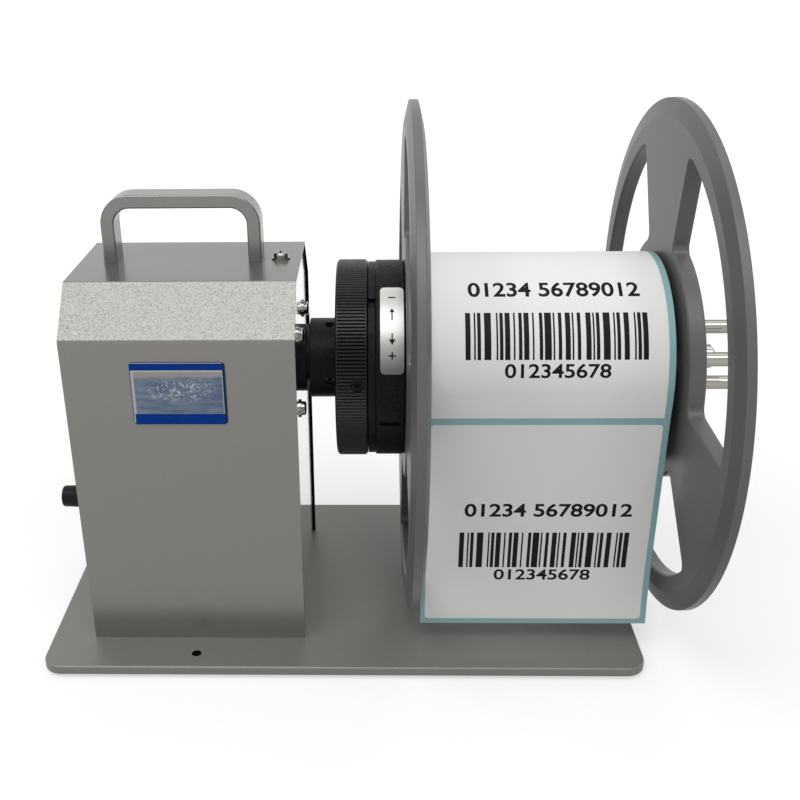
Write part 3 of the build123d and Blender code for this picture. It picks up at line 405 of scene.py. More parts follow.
BRONZE = Finish("oiled_bronze", (0.022, 0.016, 0.010), 0.5, metal=0.5, spots=0.25, spot_size=0.0004)
RUBBER = Finish("black_rubber", (0.014, 0.014, 0.014), 0.8, spots=0.2, spot_size=0.001, bump=0.00008,
                specular=0.2)
KNOB_BLACK = Finish("knob_plastic", (0.006, 0.006, 0.006), 0.42, spots=0.15, spot_size=0.0004, bump=0.00002,
                    specular=0.15)
SWITCH_BLACK = Finish("switch_plastic", (0.012, 0.012, 0.012), 0.25, spots=0.08)
BOARD = Finish("board_green", (0.015, 0.11, 0.045), 0.35, coat=0.3, spots=0.12, spot_size=0.001)
PAPER = Finish("label_paper", (0.83, 0.83, 0.825), 0.5, coat=0.05, coat_rough=0.3, spots=0.02,
               spot_size=0.0009, smudge=0.02, specular=0.3)
LINER = Finish("liner_teal", (0.31, 0.51, 0.54), 0.4, coat=0.1, coat_rough=0.2, spots=0.04,
               spot_size=0.0012, smudge=0.04, specular=0.3)
INK = Finish("print_black", (0.006, 0.006, 0.006), 0.5, spots=0.1, spot_size=0.0004, specular=0.12)
CARD = Finish("core_card", (0.34, 0.24, 0.14), 0.8, spots=0.3, spot_size=0.001, bump=0.0001)
NAME_BLUE = Finish("plate_blue", (0.002, 0.045, 0.30), 0.32, spots=0.2, spot_size=0.003, specular=0.06)
# Navy painted shade, for the strip along the name plate's right edge.
NAME_SHADE_EDGE = Finish("plate_painted_shade_edge", (0.005, 0.012, 0.045), 0.4, specular=0.2)
NAME_EDGE = Finish("plate_pale_edge", (0.56, 0.55, 0.53), 0.4, spots=0.2, spot_size=0.0008, specular=0.3)


@dataclass(frozen=True)
class WoundPaper(Finish):
    """The roll: liner colour outside and fine bands of paper and liner on its ends.

    Attributes:
        pitch: width of a broad band on the ends.
        skin: radii between which the ends pass into the outside.
    """

    pitch: float = 0.0016
    skin: Span = (0.0521, 0.05225)

    def surface(self, sheet: Sheet, place: object) -> tuple[object, object, Optional[object]]:
        """Join the nodes for the layers seen on the roll's ends.

        Args:
            sheet: the material's tree.
            place: the Object coordinates.

        Returns:
            The colour, the roughness and the height.
        """
        radius = self.group(sheet, "axis", Place=place).outputs["Radius"]
        ripple = sheet.math("MULTIPLY", sheet.noise(place, 60.0, 2.0), 0.0004)
        turn = sheet.math("DIVIDE", sheet.math("ADD", radius, ripple), self.pitch)
        band = sheet.math("PINGPONG", turn, 0.5)
        fine = sheet.math("PINGPONG", sheet.math("MULTIPLY", turn, 5.3), 0.5)
        share = sheet.span(sheet.math("ADD", band, sheet.math("MULTIPLY", fine, 0.7)), 0.15, 0.75)
        ends = sheet.mix(share, (0.30, 0.44, 0.47), (0.66, 0.67, 0.66))
        outside = sheet.span(radius, *self.skin)
        colour = sheet.mix(outside, ends, self.colour)
        rough = sheet.span(outside, 0.0, 1.0, 0.6, self.rough)
        return colour, rough, fine


@dataclass(frozen=True)
class FilmPanel(Finish):
    """The name plate's middle: a scuffed clear film over grey blue, with nothing written on it.

    Attributes:
        middle: x and z of the scuffed part's middle.
        strip: heights between which the pinkish top strip begins.
    """

    middle: Span = (-0.0978, 0.1463)
    strip: Span = (0.1531, 0.1545)

    def surface(self, sheet: Sheet, place: object) -> tuple[object, object, Optional[object]]:
        """Join the nodes for the mottled film.

        Args:
            sheet: the material's tree.
            place: the Object coordinates.

        Returns:
            The colour, the roughness and the height.
        """
        stretched = sheet.add("Mapping", {"Vector": place, "Scale": (70.0, 70.0, 330.0)}).outputs[0]
        streaks = sheet.noise(stretched, 1.0, 4.0, 0.6)
        patches = sheet.noise(place, 620.0, 4.0, 0.7)
        parts = sheet.add("SeparateXYZ", {0: place})
        across = sheet.math("ABSOLUTE", sheet.math("SUBTRACT", parts.outputs["X"], self.middle[0]))
        up = sheet.math("ABSOLUTE", sheet.math("SUBTRACT", parts.outputs["Z"], self.middle[1]))
        inside = sheet.math("MULTIPLY", sheet.span(across, 0.009, 0.017, 1.0, 0.0),
                            sheet.span(up, 0.0025, 0.0065, 1.0, 0.0))
        scuffs = sheet.math("MULTIPLY", sheet.span(patches, 0.52, 0.6), inside)
        base = sheet.mix(sheet.span(streaks, 0.38, 0.66), self.colour, (0.24, 0.30, 0.38))
        top = sheet.span(sheet.math("ADD", parts.outputs["Z"], sheet.math("MULTIPLY", streaks, 0.002)),
                         *self.strip)
        colour = sheet.mix(top, base, (0.40, 0.37, 0.37))
        colour = sheet.mix(sheet.math("MULTIPLY", scuffs, 0.8), colour, (0.70, 0.72, 0.74))
        rough = sheet.span(streaks, 0.3, 0.8, 0.25, 0.5)
        return colour, rough, patches


@dataclass(frozen=True)
class AxisFade(Finish):
    """A finish that passes from a second colour into its own along one axis. On the size plate the second colour is a
    painted reflection, darker towards the plate's lower end.

    Attributes:
        axis: the axis, X or Z.
        passes: where the second colour ends and where the finish's own is full.
        second: the second colour.
    """

    axis: str = "Z"
    passes: Span = (0.0, 1.0)
    second: Colour = (0.0, 0.0, 0.0)

    def surface(self, sheet: Sheet, place: object) -> tuple[object, object, Optional[object]]:
        """Join the nodes for the two colours.

        Args:
            sheet: the material's tree.
            place: the Object coordinates.

        Returns:
            The colour, the roughness and the height.
        """
        colour, rough, height = super().surface(sheet, place)
        along = sheet.add("SeparateXYZ", {0: place}).outputs[self.axis]
        return sheet.mix(sheet.span(along, *self.passes), self.second, colour), rough, height


# The size plate's brushed silver darkens towards its lower end. This is a painted reflection, not a second tone of
# the metal.
SIZE_PLATE_REFLECTION_FADE = AxisFade("size_plate_painted_reflection", (0.62, 0.61, 0.59), 0.34, metal=0.45, smudge=0.04, grain=Grain.ALONG_X,
                      grain_depth=0.12, passes=(0.1535, 0.1690), second=(0.17, 0.165, 0.16))
ROLL_PAPER = WoundPaper("wound_layers", LINER.colour, 0.4, bump=0.00015, specular=0.3)
FILM = FilmPanel("plate_film", (0.10, 0.15, 0.26), 0.3, coat=0.1, coat_rough=0.2, bump=0.00003, specular=0.3)
# The gearbox nose beside the hub is near-black, in the colour of the painted shade. This is a painted dark reflection
# of the black neck beside it, while the rest of the case is bare alloy.
NOSED_ALLOY = AxisFade("cast_alloy_nosed", ALLOY.colour, 0.48, metal=0.85, spots=0.2, spot_size=0.0012,
                      bump=0.00008, axis="X", passes=(-0.0472, -0.0475), second=PAINTED_SHADE_BLACK.colour)


# ---- mesh tools -------------------------------------------------------------------------------


def link_mesh(name: str, bm: bmesh.types.BMesh) -> bpy.types.Object:
    """Turn a bmesh into an object at the origin.

    Args:
        name: the object's name.
        bm: its mesh, freed here.

    Returns:
        The new object.
    """
    mesh = bpy.data.meshes.new(name)
    bm.to_mesh(mesh)
    bm.free()
    made = bpy.data.objects.new(name, mesh)
    bpy.context.scene.collection.objects.link(made)
    return made


def finish_piece(name: str, bm: bmesh.types.BMesh, finish: Finish, body: str, stands_for: Sequence[str] = (),
                 sharp: float = 35.0) -> bpy.types.Object:
    """Turn a bmesh into a piece at the origin that rides on a body.

    Args:
        name: the piece's name.
        bm: its mesh, in place; freed here.
        finish: its finish.
        body: the CAD body it rides on.
        stands_for: CAD nodes that it replaces.
        sharp: angle in degrees past which an edge stays sharp.

    Returns:
        The new object.
    """
    for face in bm.faces:
        face.smooth = True
    for edge in bm.edges:
        edge.smooth = len(edge.link_faces) == 2 and edge.calc_face_angle(0.0) < math.radians(sharp)
    piece = link_mesh(name, bm)
    piece.data.materials.append(finish.material())
    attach(piece, body)
    if stands_for:
        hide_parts(*stands_for)
    log.info("piece %s: %d faces", name, len(piece.data.polygons))
    return piece


def paint_nodes(finishes: dict[str, Finish]) -> None:
    """Give CAD nodes their finishes.

    Args:
        finishes: node name to finish.
    """
    for node, finish in finishes.items():
        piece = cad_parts[node]
        piece.data.materials.clear()
        piece.data.materials.append(finish.material())
        log.info("node %s: %s", node, finish.name)


def refaced(piece: bpy.types.Object, finish: Finish, picked: Callable[[Vector, Vector], bool]) -> None:
    """Give some faces of a piece a further finish.

    Args:
        piece: the piece.
        finish: the further finish.
        picked: says from a face's middle and normal whether it takes that finish.
    """
    piece.data.materials.append(finish.material())
    for face in piece.data.polygons:
        if picked(face.center, face.normal):
            face.material_index = len(piece.data.materials) - 1


def softened(node: str, body: str, finish: Finish, width: float, steps: int = 2, sharp: float = 28.0,
             crisp: float = 40.0) -> bpy.types.Object:
    """Copy a CAD node, round its sharp edges and let the copy stand for it.

    Args:
        node: the CAD node.
        body: the body it rides on.
        finish: its finish.
        width: how wide the rounding is.
        steps: how many segments it has.
        sharp: angle in degrees past which an edge is rounded.
        crisp: angle in degrees past which the shading breaks.

    Returns:
        The new piece.
    """
    bm = bmesh.new()
    bm.from_mesh(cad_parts[node].data)
    bmesh.ops.remove_doubles(bm, verts=bm.verts, dist=WELD_REACH)
    bmesh.ops.dissolve_limit(bm, angle_limit=math.radians(FLAT_ANGLE), verts=bm.verts, edges=bm.edges)
    bmesh.ops.recalc_face_normals(bm, faces=bm.faces)
    edges = [e for e in bm.edges if len(e.link_faces) == 2 and e.calc_face_angle(0.0) > math.radians(sharp)]
    bmesh.ops.bevel(bm, geom=edges, offset=width, offset_type="OFFSET", segments=steps, profile=0.5,
                    affect="EDGES", material=-1, clamp_overlap=True)
    bmesh.ops.recalc_face_normals(bm, faces=bm.faces)
    piece = finish_piece(node + "_finished", bm, finish, body, [node], crisp)
    even = piece.modifiers.new("even_normals", "WEIGHTED_NORMAL")
    even.keep_sharp = True
    return piece


def cross_cut(part: bmesh.types.BMesh, up: Span, pieces: int) -> None:
    """Cut a flat part across into equal lengths, so that it can bend.

    Args:
        part: the part.
        up: its span.
        pieces: how many lengths.
    """
    for k in range(1, pieces):
        level = Vector((0, up[0] + (up[1] - up[0]) * k / pieces, 0))
        bmesh.ops.bisect_plane(part, geom=part.verts[:] + part.edges[:] + part.faces[:], plane_co=level,
                               plane_no=(0, 1, 0))


def slab(bm: bmesh.types.BMesh, across: Span, up: Span, lift: Span, warp: Warp, corner: float = 0.0,
         step: float = 0.0015) -> None:
    """Add a thin plate, laid out flat and then bent by a warp.

    Args:
        bm: the mesh to add to.
        across: its span along the first flat direction.
        up: its span along the second.
        lift: its span off the surface.
        warp: turns flat (across, up, lift) into a place.
        corner: radius of its rounded corners.
        step: longest run along up between two cuts.
    """
    size = Vector((across[1] - across[0], up[1] - up[0], lift[1] - lift[0]))
    middle = Vector((sum(across) / 2, sum(up) / 2, sum(lift) / 2))
    part = bmesh.new()
    bmesh.ops.create_cube(part, size=1.0, matrix=Matrix.Translation(middle) @ Matrix.Diagonal((*size, 1.0)))
    if corner:
        upright = [e for e in part.edges if abs((e.verts[0].co - e.verts[1].co).z) > size.z * 0.9]
        bmesh.ops.bevel(part, geom=upright, offset=corner, segments=4, profile=0.5, affect="EDGES", material=-1)
    cross_cut(part, up, max(1, math.ceil(size.y / step)))
    lay(part, bm, warp)


def lay(part: bmesh.types.BMesh, bm: bmesh.types.BMesh, warp: Warp) -> None:
    """Bend a flat part and add it to a mesh.

    Args:
        part: the flat part, freed here.
        bm: the mesh to add to.
        warp: turns flat (across, up, lift) into a place.
    """
    for vert in part.verts:
        vert.co = warp(*vert.co)
    bmesh.ops.recalc_face_normals(part, faces=part.faces)
    holder = bpy.data.meshes.new("laid")
    part.to_mesh(holder)
    part.free()
    bm.from_mesh(holder)
    bpy.data.meshes.remove(holder)


def figures(bm: bmesh.types.BMesh, text: str, across: Span, up: Span, lift: Span, warp: Warp,
            heavy: float = 0.0) -> None:
    """Add plain numbers, fitted to a field and bent by a warp.

    Args:
        bm: the mesh to add to.
        text: the numbers.
        across: the field's span along the line.
        up: the field's span upwards.
        lift: the span off the surface.
        warp: turns flat (across, up, lift) into a place.
        heavy: how far the strokes are widened, as a share of the type size.
    """
    curve = bpy.data.curves.new("figures", "FONT")
    curve.body = text
    curve.extrude = 0.5
    curve.offset = heavy
    holder = bpy.data.objects.new("figures", curve)
    bpy.context.scene.collection.objects.link(holder)
    mesh = bpy.data.meshes.new_from_object(holder.evaluated_get(bpy.context.evaluated_depsgraph_get()))
    part = bmesh.new()
    part.from_mesh(mesh)
    bpy.data.objects.remove(holder)
    bpy.data.curves.remove(curve)
    bpy.data.meshes.remove(mesh)
    low = [min(v.co[i] for v in part.verts) for i in range(3)]
    high = [max(v.co[i] for v in part.verts) for i in range(3)]
    for vert in part.verts:
        for i, span in enumerate((across, up, lift)):
            vert.co[i] = span[0] + (vert.co[i] - low[i]) / (high[i] - low[i]) * (span[1] - span[0])
    cross_cut(part, up, max(2, math.ceil((up[1] - up[0]) / FIGURE_STEP)))
    lay(part, bm, warp)


def barcode(bm: bmesh.types.BMesh, across: Span, up: Span, lift: Span, warp: Warp) -> None:
    """Add a plain bar pattern that stands for no number.

    Args:
        bm: the mesh to add to.
        across: the pattern's span.
        up: the height of the bars.
        lift: the span off the surface.
        warp: turns flat (across, up, lift) into a place.
    """
    bars = [(3, 1, 2, 4, 1, 2, 3, 1, 2)[(k * 4) % 9] for k in range(28)]
    gaps = [(2, 1, 3, 1, 2, 1, 2)[(k * 3) % 7] for k in range(27)] + [0]
    unit = (across[1] - across[0]) / (sum(bars) + sum(gaps))
    start = across[0]
    for bar, gap in zip(bars, gaps):
        slab(bm, (start, start + bar * unit), up, lift, warp, step=0.003)
        start += (bar + gap) * unit


def turned(profile: Sequence[tuple[float, float]], steps: int = 128) -> bmesh.types.BMesh:
    """Spin a closed outline round the spindle axis.

    Args:
        profile: (x, radius) of each corner of the outline.
        steps: how many steps the full turn has.

    Returns:
        The mesh of the ring.
    """
    bm = bmesh.new()
    verts = [bm.verts.new((x, 0.0, SPINDLE_HEIGHT + r)) for x, r in profile]
    edges = [bm.edges.new((a, b)) for a, b in zip(verts, verts[1:] + verts[:1])]
    bmesh.ops.spin(bm, geom=verts + edges, cent=(0, 0, SPINDLE_HEIGHT), axis=(1, 0, 0), angle=math.tau,
                   steps=steps, use_merge=True)
    bmesh.ops.remove_doubles(bm, verts=bm.verts, dist=1e-7)
    bmesh.ops.recalc_face_normals(bm, faces=bm.faces)
    return bm


def round_spindle(radius: float) -> Warp:
    """Warp for a plate bent round the spindle: up is the arc from the side that faces the user."""

    def place(across: float, up: float, lift: float) -> Vector:
        """Bend one point."""
        angle = up / radius
        reach = radius + lift
        return Vector((across, -reach * math.cos(angle), SPINDLE_HEIGHT + reach * math.sin(angle)))

    return place


# ---- sub-assemblies ---------------------------------------------------------------------------


@dataclass
class Base:
    """Base plate on its rubber feet."""

    rounding: float = 0.0004
    middle_x: float = -0.025
    inner_half: Span = (0.14, 0.072)

    def build(self) -> None:
        """Dress the base."""
        plate = softened("base_plate", "frame", BASE_PAINT, self.rounding)
        # the walls of the holes in the plate are painted near-black as shade
        refaced(plate, PAINTED_SHADE_BLACK, self.in_hole)
        paint_nodes({"rubber_feet": RUBBER, "base_screws": DARK_STEEL})

    def in_hole(self, middle: Vector, normal: Vector) -> bool:
        """Say whether a face of the plate is a hole's wall, which takes painted shade."""
        along, deep = self.inner_half
        return abs(normal.z) < 0.5 and abs(middle.x - self.middle_x) < along and abs(middle.y) < deep


@dataclass
class Housing:
    """Folded cover, side plates, handle and name plate."""

    top_from: float = 0.19
    plate_middle: tuple[float, float] = (-0.099, 0.1445)
    plate_face: float = -0.0542
    plate_size: tuple[float, float] = (0.044, 0.031)
    top_band: float = 0.0037
    low_band: float = 0.0055
    shade_strip_width: float = 0.0012
    lift: Span = (0.0, 0.00012)

    def build(self) -> None:
        """Dress the housing and build the name plate's face."""
        cover = softened("housing_cover", "frame", SILVER_PAINT, 0.00025)
        # the flat top takes the darker copy of the silver paint: painted shade
        refaced(cover, SHADED_TOP_PAINT, self.faces_up)
        # the cover's inside faces are painted near-black as shade
        refaced(cover, PAINTED_SHADE_BLACK, self.faces_inwards)
        for node, finish, width, steps in (
            ("right_side_plate", POLISHED, 0.00025, 2), ("left_side_plate", BRUSHED, 0.00025, 2),
            ("carry_handle", HANDLE_PAINT, 0.0009, 3), ("name_plate", NAME_BLUE, 0.00015, 2),
        ):
            softened(node, "frame", finish, width, steps)
        paint_nodes({
            "cover_washer": SCREW, "cover_screw": SCREW, "handle_screws": DARK_STEEL,
            "gearbox_mount_washers": SCREW, "gearbox_mount_screws": SCREW,
        })
        self.build_plate_face()

    def faces_up(self, middle: Vector, normal: Vector) -> bool:
        """Say whether a face is the cover's flat top, which takes the darker copy of the paint as painted shade."""
        return normal.z > 0.95 and middle.z > self.top_from

    @staticmethod
    def faces_inwards(middle: Vector, normal: Vector) -> bool:
        """Say whether a face of the cover looks into the housing, where it takes painted shade."""
        return abs(normal.x) < 0.5 and middle.y * normal.y + (middle.z - 0.1) * normal.z < 0

    def on_face(self, across: float, up: float, lift: float) -> Vector:
        """Place a point of the name plate's face."""
        return Vector((self.plate_middle[0] + across, self.plate_face - lift, self.plate_middle[1] + up))

    def build_plate_face(self) -> None:
        """Build the pale surround, the film over the plate's middle and a navy strip of painted shade along the
        plate's right edge.
        """
        half_w, half_h = self.plate_size[0] / 2, self.plate_size[1] / 2
        top, low = half_h - self.top_band, -half_h + self.low_band
        bm = bmesh.new()
        for across, up, corner in (
            ((-half_w + 0.0004, half_w - self.shade_strip_width), (low, top), 0.0003),
            ((-half_w + 0.0004, -half_w + 0.0010), (-half_h + 0.001, low), 0.0),
            ((-half_w + 0.0012, half_w - 0.0012), (half_h - 0.0003, half_h - 0.00002), 0.0),
        ):
            slab(bm, across, up, self.lift, self.on_face, corner, 1.0)
        finish_piece("plate_surround", bm, NAME_EDGE, "frame")
        bm = bmesh.new()
        slab(bm, (-half_w + 0.0018, half_w - self.shade_strip_width - 0.0004), (low + 0.0002, top - 0.0008),
             (self.lift[1], 0.0002), self.on_face, 0.0004, 1.0)
        finish_piece("plate_film", bm, FILM, "frame")
        # navy strip along the plate's right edge: painted shade
        bm = bmesh.new()
        slab(bm, (half_w - self.shade_strip_width, half_w - 0.0002), (-half_h + 0.0012, half_h - 0.0012), self.lift,
             self.on_face, 0.0, 1.0)
        finish_piece("plate_shade_strip", bm, NAME_SHADE_EDGE, "frame")


@dataclass
class Controls:
    """Knob, switch and inlet on the left, with the board behind them."""

    def build(self) -> None:
        """Dress the controls."""
        paint_nodes({
            "speed_knob": KNOB_BLACK, "knob_shaft": TURNED, "potentiometer": TURNED,
            "potentiometer_nut": SCREW, "switch_housing": SWITCH_BLACK, "switch_rocker": SWITCH_BLACK,
            "power_inlet": SWITCH_BLACK, "power_inlet_nut": SCREW, "control_board": BOARD,
            "board_components": SWITCH_BLACK,
        })


@dataclass
class Drive:
    """Gearbox and motor inside the housing."""

    def build(self) -> None:
        """Dress the drive."""
        paint_nodes({
            "gearbox_case": NOSED_ALLOY, "gearbox_lid": ALLOY, "gearbox_screws": DARK_STEEL,
            "spindle_bush": BRONZE, "idler_pin": TURNED, "motor_can": DARK_STEEL,
            "motor_end_cap": KNOB_BLACK, "motor_screws": DARK_STEEL, "output_gear": DARK_STEEL,
            "idler_gear": DARK_STEEL, "motor_pinion": DARK_STEEL, "motor_shaft": TURNED,
        })


@dataclass
class Hub:
    """Spindle, black adjustable hub and the rods that it carries."""

    plate_radius: float = 0.0495
    plate_x: Span = (-0.0061, 0.0049)
    minus_up: float = 0.0484
    up_arrow: Span = (0.0364, 0.0416)
    down_arrow: Span = (0.0255, 0.0300)
    plus_up: float = 0.0194
    ink: float = 0.00003
    stroke: float = 0.00035

    def build(self) -> None:
        """Dress the hub and mark the size plate."""
        for node, width in (("hub_neck", 0.0003), ("guide_ring", 0.0003), ("index_disc", 0.0002)):
            softened(node, "spindle", HUB_BLACK, width)
        paint_nodes({
            "adjusting_ring": RING_BLACK, "ring_plug": HUB_BLACK, "hub_grub_screws": DARK_STEEL,
            # the size plate's finish carries a painted reflection that darkens towards its lower end
            "spindle_shaft": TURNED, "size_plate": SIZE_PLATE_REFLECTION_FADE,
        })
        for k in (1, 2, 3):
            softened(f"core_rod_{k}", f"rod_{k}", CHROME, 0.0002)
            paint_nodes({f"rod_carrier_{k}": DARK_STEEL})
        self.build_size_marks()

    def build_size_marks(self) -> None:
        """Build a minus and a plus with an arrow towards each."""
        bm = bmesh.new()
        warp = round_spindle(self.plate_radius)
        middle = sum(self.plate_x) / 2
        lift = (0.0, self.ink)
        for span, tip, head in ((self.up_arrow, 1.0, 0.0014), (self.down_arrow, -1.0, 0.0018)):
            slab(bm, (middle - 0.0003, middle + 0.0003), span, lift, warp, step=0.002)
            part = bmesh.new()
            bmesh.ops.create_circle(part, cap_ends=True, segments=3, radius=head,
                                    matrix=Matrix.Rotation(0.0 if tip > 0 else math.pi, 4, "Z"))
            top = bmesh.ops.extrude_face_region(part, geom=part.faces[:])["geom"]
            for vert in [g for g in top if isinstance(g, bmesh.types.BMVert)]:
                vert.co.z += lift[1]
            end = span[1] if tip > 0 else span[0]
            bmesh.ops.translate(part, verts=part.verts, vec=(middle, end - tip * head * 0.4, 0))
            lay(part, bm, warp)
        for height in (self.minus_up, self.plus_up):
            slab(bm, (middle - 0.0017, middle + 0.0017), (height - self.stroke, height + self.stroke), lift, warp)
        slab(bm, (middle - self.stroke, middle + self.stroke), (self.plus_up - 0.0017, self.plus_up + 0.0017), lift,
             warp)
        finish_piece("size_marks", bm, INK, "spindle")


@dataclass
class Flanges:
    """The inner flange screwed to the hub and the outer one that slides on the rods.

    Attributes:
        rounding: width of the rounding on their edges.
        steps: how many segments it has.
        rounded_from: angle in degrees past which an edge is rounded.
        crisp_from: angle in degrees past which the shading breaks, so that the bevelled rims show.
    """

    rounding: float = 0.0006
    steps: int = 3
    rounded_from: float = 20.0
    crisp_from: float = 11.6

    def build(self) -> None:
        """Dress the flanges."""
        for node, body in (("inner_flange", "spindle"), ("outer_flange", "outer_flange")):
            softened(node, body, FLANGE_PAINT, self.rounding, self.steps, self.rounded_from, self.crisp_from)
        paint_nodes({"inner_flange_screws": DARK_STEEL})


@dataclass
class Labels:
    """The wound roll, its hanging end, and what is printed on the labels."""

    roll_radius: float = 0.05243
    core_radius: float = 0.0233
    roll_x: Span = (0.0144, 0.1284)
    web_x: Span = (0.0150, 0.1282)
    web_back: float = 0.05256
    thin_end: float = 0.00004
    web_thickness: float = 0.00012
    taper: float = 0.004
    web_straight: float = 0.085
    web_drop: float = 0.1228
    web_bow: float = 0.003
    web_skew: float = 0.008
    label_x: Span = (0.0172, 0.1253)
    label_thickness: float = 0.00012
    roll_labels: tuple[Span, ...] = ((0.0, 106.6), (111.0, 230.0), (234.4, 353.0))
    web_labels: tuple[tuple[Span, float, float], ...] = (((-0.0097, 0.0), 0.0, 0.002),
                                                         ((-0.1201, -0.0132), 0.0018, 0.003))
    layers: int = 36
    ink: float = 0.00002
    heading: str = "01234 56789012"
    count: str = "012345678"

    def hang(self, across: float, up: float, lift: float) -> Vector:
        """Place a point of the hanging end.

        Args:
            across: position along the spindle.
            up: distance along the web from the axis height, negative downwards.
            lift: distance off the web's back.

        Returns:
            The place.
        """
        down = -up
        across -= self.web_skew * down
        run = self.web_drop - self.web_straight
        bend = (run * run + self.web_bow ** 2) / (2 * self.web_bow)
        if down <= self.web_straight:
            share = self.thin_end / self.web_thickness
            lift *= share + (1.0 - share) * min(1.0, down / self.taper)
            return Vector((across, -self.web_back - lift, SPINDLE_HEIGHT - down))
        angle = (down - self.web_straight) / bend
        out = bend * (1 - math.cos(angle)) + lift * math.cos(angle)
        fall = self.web_straight + bend * math.sin(angle) - lift * math.sin(angle)
        return Vector((across, -self.web_back - out, SPINDLE_HEIGHT - fall))

    def build(self) -> None:
        """Build the roll, the web, the labels and their print."""
        paint_nodes({"label_core": CARD})
        self.build_roll()
        self.build_web()
        self.build_labels()
        self.build_print()

    def build_roll(self) -> None:
        """Build the wound roll with slightly uneven ends."""
        left, right = self.roll_x
        deep = self.roll_radius - self.core_radius
        ends = []
        for k in range(self.layers + 1):
            radius = self.core_radius + deep * k / self.layers
            shift = 0.00012 * math.sin(k * 2.4) + 0.00010 * math.sin(k * 0.9)
            ends.append((radius, abs(shift)))
        ends[-1] = (self.roll_radius, 0.0)
        outline = [(left + shift, radius) for radius, shift in ends]
        outline += [(right - shift, radius) for radius, shift in reversed(ends)]
        finish_piece("wound_roll", turned(outline, 160), ROLL_PAPER, "spindle", ["label_roll"])

    def build_web(self) -> None:
        """Build the hanging liner."""
        bm = bmesh.new()
        slab(bm, self.web_x, (-self.web_drop, 0.0), (0.0, self.web_thickness), self.hang, step=0.0025)
        finish_piece("hanging_liner", bm, LINER, "frame", ["label_web"])

    def build_labels(self) -> None:
        """Build the labels on the roll and on the hanging end."""
        lift = (0.0, self.label_thickness)
        warp = round_spindle(self.roll_radius)
        arc = math.radians(1.0) * self.roll_radius
        bm = bmesh.new()
        for low, high in self.roll_labels:
            slab(bm, self.label_x, (low * arc, high * arc), lift, warp, 0.0018 if low else 0.0, 0.0015)
        finish_piece("roll_labels", bm, PAPER, "spindle")
        bm = bmesh.new()
        lift = (self.web_thickness, self.web_thickness + self.label_thickness)
        for up, corner, step in self.web_labels:
            slab(bm, self.label_x, up, lift, self.hang, corner, step)
        finish_piece("web_labels", bm, PAPER, "frame")

    def build_print(self) -> None:
        """Build the plain bars and numbers on both visible labels."""
        arc = math.radians(1.0) * self.roll_radius
        for name, body, warp, off, (top_x, top), (bar_x, bars), (low_x, low) in (
            ("roll_print", "spindle", round_spindle(self.roll_radius), self.label_thickness,
             ((0.0346, 0.1137), (53.5 * arc, 63.0 * arc)), ((0.0328, 0.1160), (20.2 * arc, 44.4 * arc)),
             ((0.0508, 0.0992), (11.0 * arc, 18.3 * arc))),
            ("web_print", "frame", self.hang, self.web_thickness + self.label_thickness,
             ((0.0351, 0.1158), (-0.0624, -0.0550)), ((0.0332, 0.1157), (-0.0911, -0.0712)),
             ((0.0510, 0.0985), (-0.0983, -0.0922))),
        ):
            lift = (off, off + self.ink)
            bm = bmesh.new()
            figures(bm, self.heading, top_x, top, lift, warp, 0.022)
            barcode(bm, bar_x, bars, lift, warp)
            figures(bm, self.count, low_x, low, lift, warp, 0.018)
            finish_piece(name, bm, INK, body)


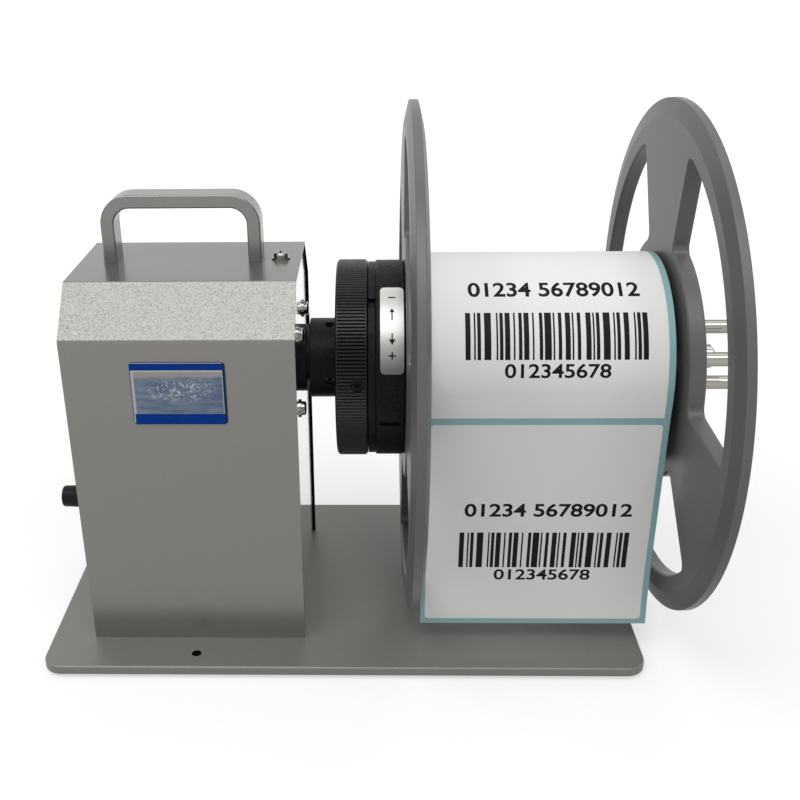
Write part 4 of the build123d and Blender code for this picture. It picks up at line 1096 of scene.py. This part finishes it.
@dataclass
class Studio:
    """Floor, lights and the camera that matches the photograph."""

    focal_pixels: float = 1048.86
    centre_x: float = 350.16
    centre_y: float = 399.71
    camera_place: tuple[float, float, float] = (-0.00846, -0.49431, 0.33962)
    pitch: float = 24.23
    yaw: float = -1.5
    roll: float = 0.73
    surround: float = 0.32
    base_middle: Span = (-0.025, 0.003)
    base_half: Span = (0.149, 0.073)
    floor_shade: float = 0.46
    floor_reach: Span = (0.25, 1.3)
    floor_near: float = 0.62
    floor_far: float = 0.92
    lamps: list[tuple[str, tuple[float, float, float], tuple[float, float], float]] = field(
        default_factory=lambda: [
            ("key", (-0.2, -1.0, 2.2), (2.6, 1.2), 35.0),
            ("side", (-1.6, 0.1, 1.3), (1.1, 1.1), 1.6),
            ("back", (0.2, 0.75, 2.1), (1.6, 0.8), 5.0),
        ])

    def build(self) -> None:
        """Build the studio."""
        bpy.context.scene.view_settings.view_transform = "Standard"
        self.build_floor()
        self.build_world()
        self.build_lamps()
        self.build_camera()

    def build_floor(self) -> None:
        """Build a wide pale floor that keeps the object's shadow."""
        bm = bmesh.new()
        bmesh.ops.create_grid(bm, x_segments=1, y_segments=1, size=15.0)
        floor = link_mesh("floor", bm)
        made = bpy.data.materials.new("floor_white")
        made.use_nodes = True
        made.node_tree.nodes.clear()
        sheet = Sheet(made.node_tree)
        seen = self.seen(sheet)
        diffuse = sheet.add("BsdfDiffuse", {"Color": (self.floor_shade,) * 3 + (1.0,)})
        place = sheet.add("TexCoord").outputs["Object"]
        reach = sheet.add("VectorMath", {0: place}, operation="LENGTH").outputs["Value"]
        level = sheet.span(reach, *self.floor_reach, self.floor_near, self.floor_far)
        # the glow is cut under the base, painting shade into the hole and the gap under the base's edges
        level = sheet.math("SUBTRACT", level, self.under_base(sheet, place), clamp=True)
        glow = sheet.add("Emission", {"Color": (1.0, 1.0, 1.0, 1.0), "Strength": sheet.math("MULTIPLY", seen, level)})
        both = sheet.add("AddShader", {0: diffuse.outputs[0], 1: glow.outputs[0]})
        sheet.add("OutputMaterial", {0: both.outputs[0]})
        log.info("floor: %s", made.name)
        floor.data.materials.append(made)

    def under_base(self, sheet: Sheet, place: object) -> object:
        """Join a value that is one on the floor under the base, where no light comes. The floor's glow is cut there,
        which paints that patch as shade.
        """
        parts = sheet.add("SeparateXYZ", {0: place})
        inside = []
        for axis, middle, half in zip("XY", self.base_middle, self.base_half):
            away = sheet.math("ABSOLUTE", sheet.math("SUBTRACT", parts.outputs[axis], middle))
            inside.append(sheet.span(away, half - 0.003, half, 1.0, 0.0))
        return sheet.math("MULTIPLY", inside[0], inside[1])

    @staticmethod
    def seen(sheet: Sheet) -> object:
        """Join a value that is one where the eye, a reflection or clear stuff shows the surround."""
        rays = sheet.add("LightPath")
        mirrored = sheet.math("MAXIMUM", rays.outputs["Is Glossy Ray"], rays.outputs["Is Transmission Ray"])
        return sheet.math("MAXIMUM", rays.outputs["Is Camera Ray"], mirrored)

    def build_world(self) -> None:
        """Build a plain studio surround, white to the camera and softer as light."""
        world = bpy.data.worlds.new("studio")
        bpy.context.scene.world = world
        world.use_nodes = True
        world.node_tree.nodes.clear()
        sheet = Sheet(world.node_tree)
        strength = sheet.math("MAXIMUM", self.seen(sheet), self.surround)
        back = sheet.add("Background", {"Color": (1.0, 1.0, 1.0, 1.0), "Strength": strength})
        sheet.add("OutputWorld", {0: back.outputs[0]})

    def build_lamps(self) -> None:
        """Build the soft area lamps, each aimed at the object."""
        aim = Vector((0.0, 0.0, 0.12))
        for name, place, size, power in self.lamps:
            lamp = bpy.data.lights.new(name, "AREA")
            lamp.shape = "RECTANGLE"
            lamp.size, lamp.size_y = size
            lamp.energy = power
            holder = bpy.data.objects.new(name, lamp)
            bpy.context.scene.collection.objects.link(holder)
            holder.location = place
            holder.rotation_euler = (aim - Vector(place)).to_track_quat("-Z", "Y").to_euler()

    def build_camera(self) -> None:
        """Build the camera from the fitted view of the photograph."""
        pitch, yaw, roll = (math.radians(a) for a in (self.pitch, self.yaw, self.roll))
        ahead = Vector((math.sin(yaw) * math.cos(pitch), math.cos(yaw) * math.cos(pitch), -math.sin(pitch)))
        right = Vector((math.cos(yaw), -math.sin(yaw), 0.0))
        down = ahead.cross(right)
        turned_right = right * math.cos(roll) + down * math.sin(roll)
        turned_down = down * math.cos(roll) - right * math.sin(roll)
        lens = bpy.data.cameras.new("camera")
        lens.sensor_width = 36.0
        lens.lens = self.focal_pixels / 800.0 * 36.0
        lens.shift_x = (400.0 - self.centre_x) / 800.0
        lens.shift_y = (self.centre_y - 400.0) / 800.0
        camera = bpy.data.objects.new("camera", lens)
        bpy.context.scene.collection.objects.link(camera)
        matrix = Matrix((turned_right, -turned_down, -ahead)).transposed().to_4x4()
        matrix.translation = Vector(self.camera_place)
        camera.matrix_world = matrix
        bpy.context.scene.camera = camera


def main() -> None:
    """Build every sub-assembly in order, then the studio."""
    logging.basicConfig(level=logging.INFO, format="%(message)s")
    for part in (Base(), Housing(), Controls(), Drive(), Hub(), Flanges(), Labels(), Studio()):
        log.info("building %s", type(part).__name__)
        part.build()


if __name__ == "__main__":
    main()
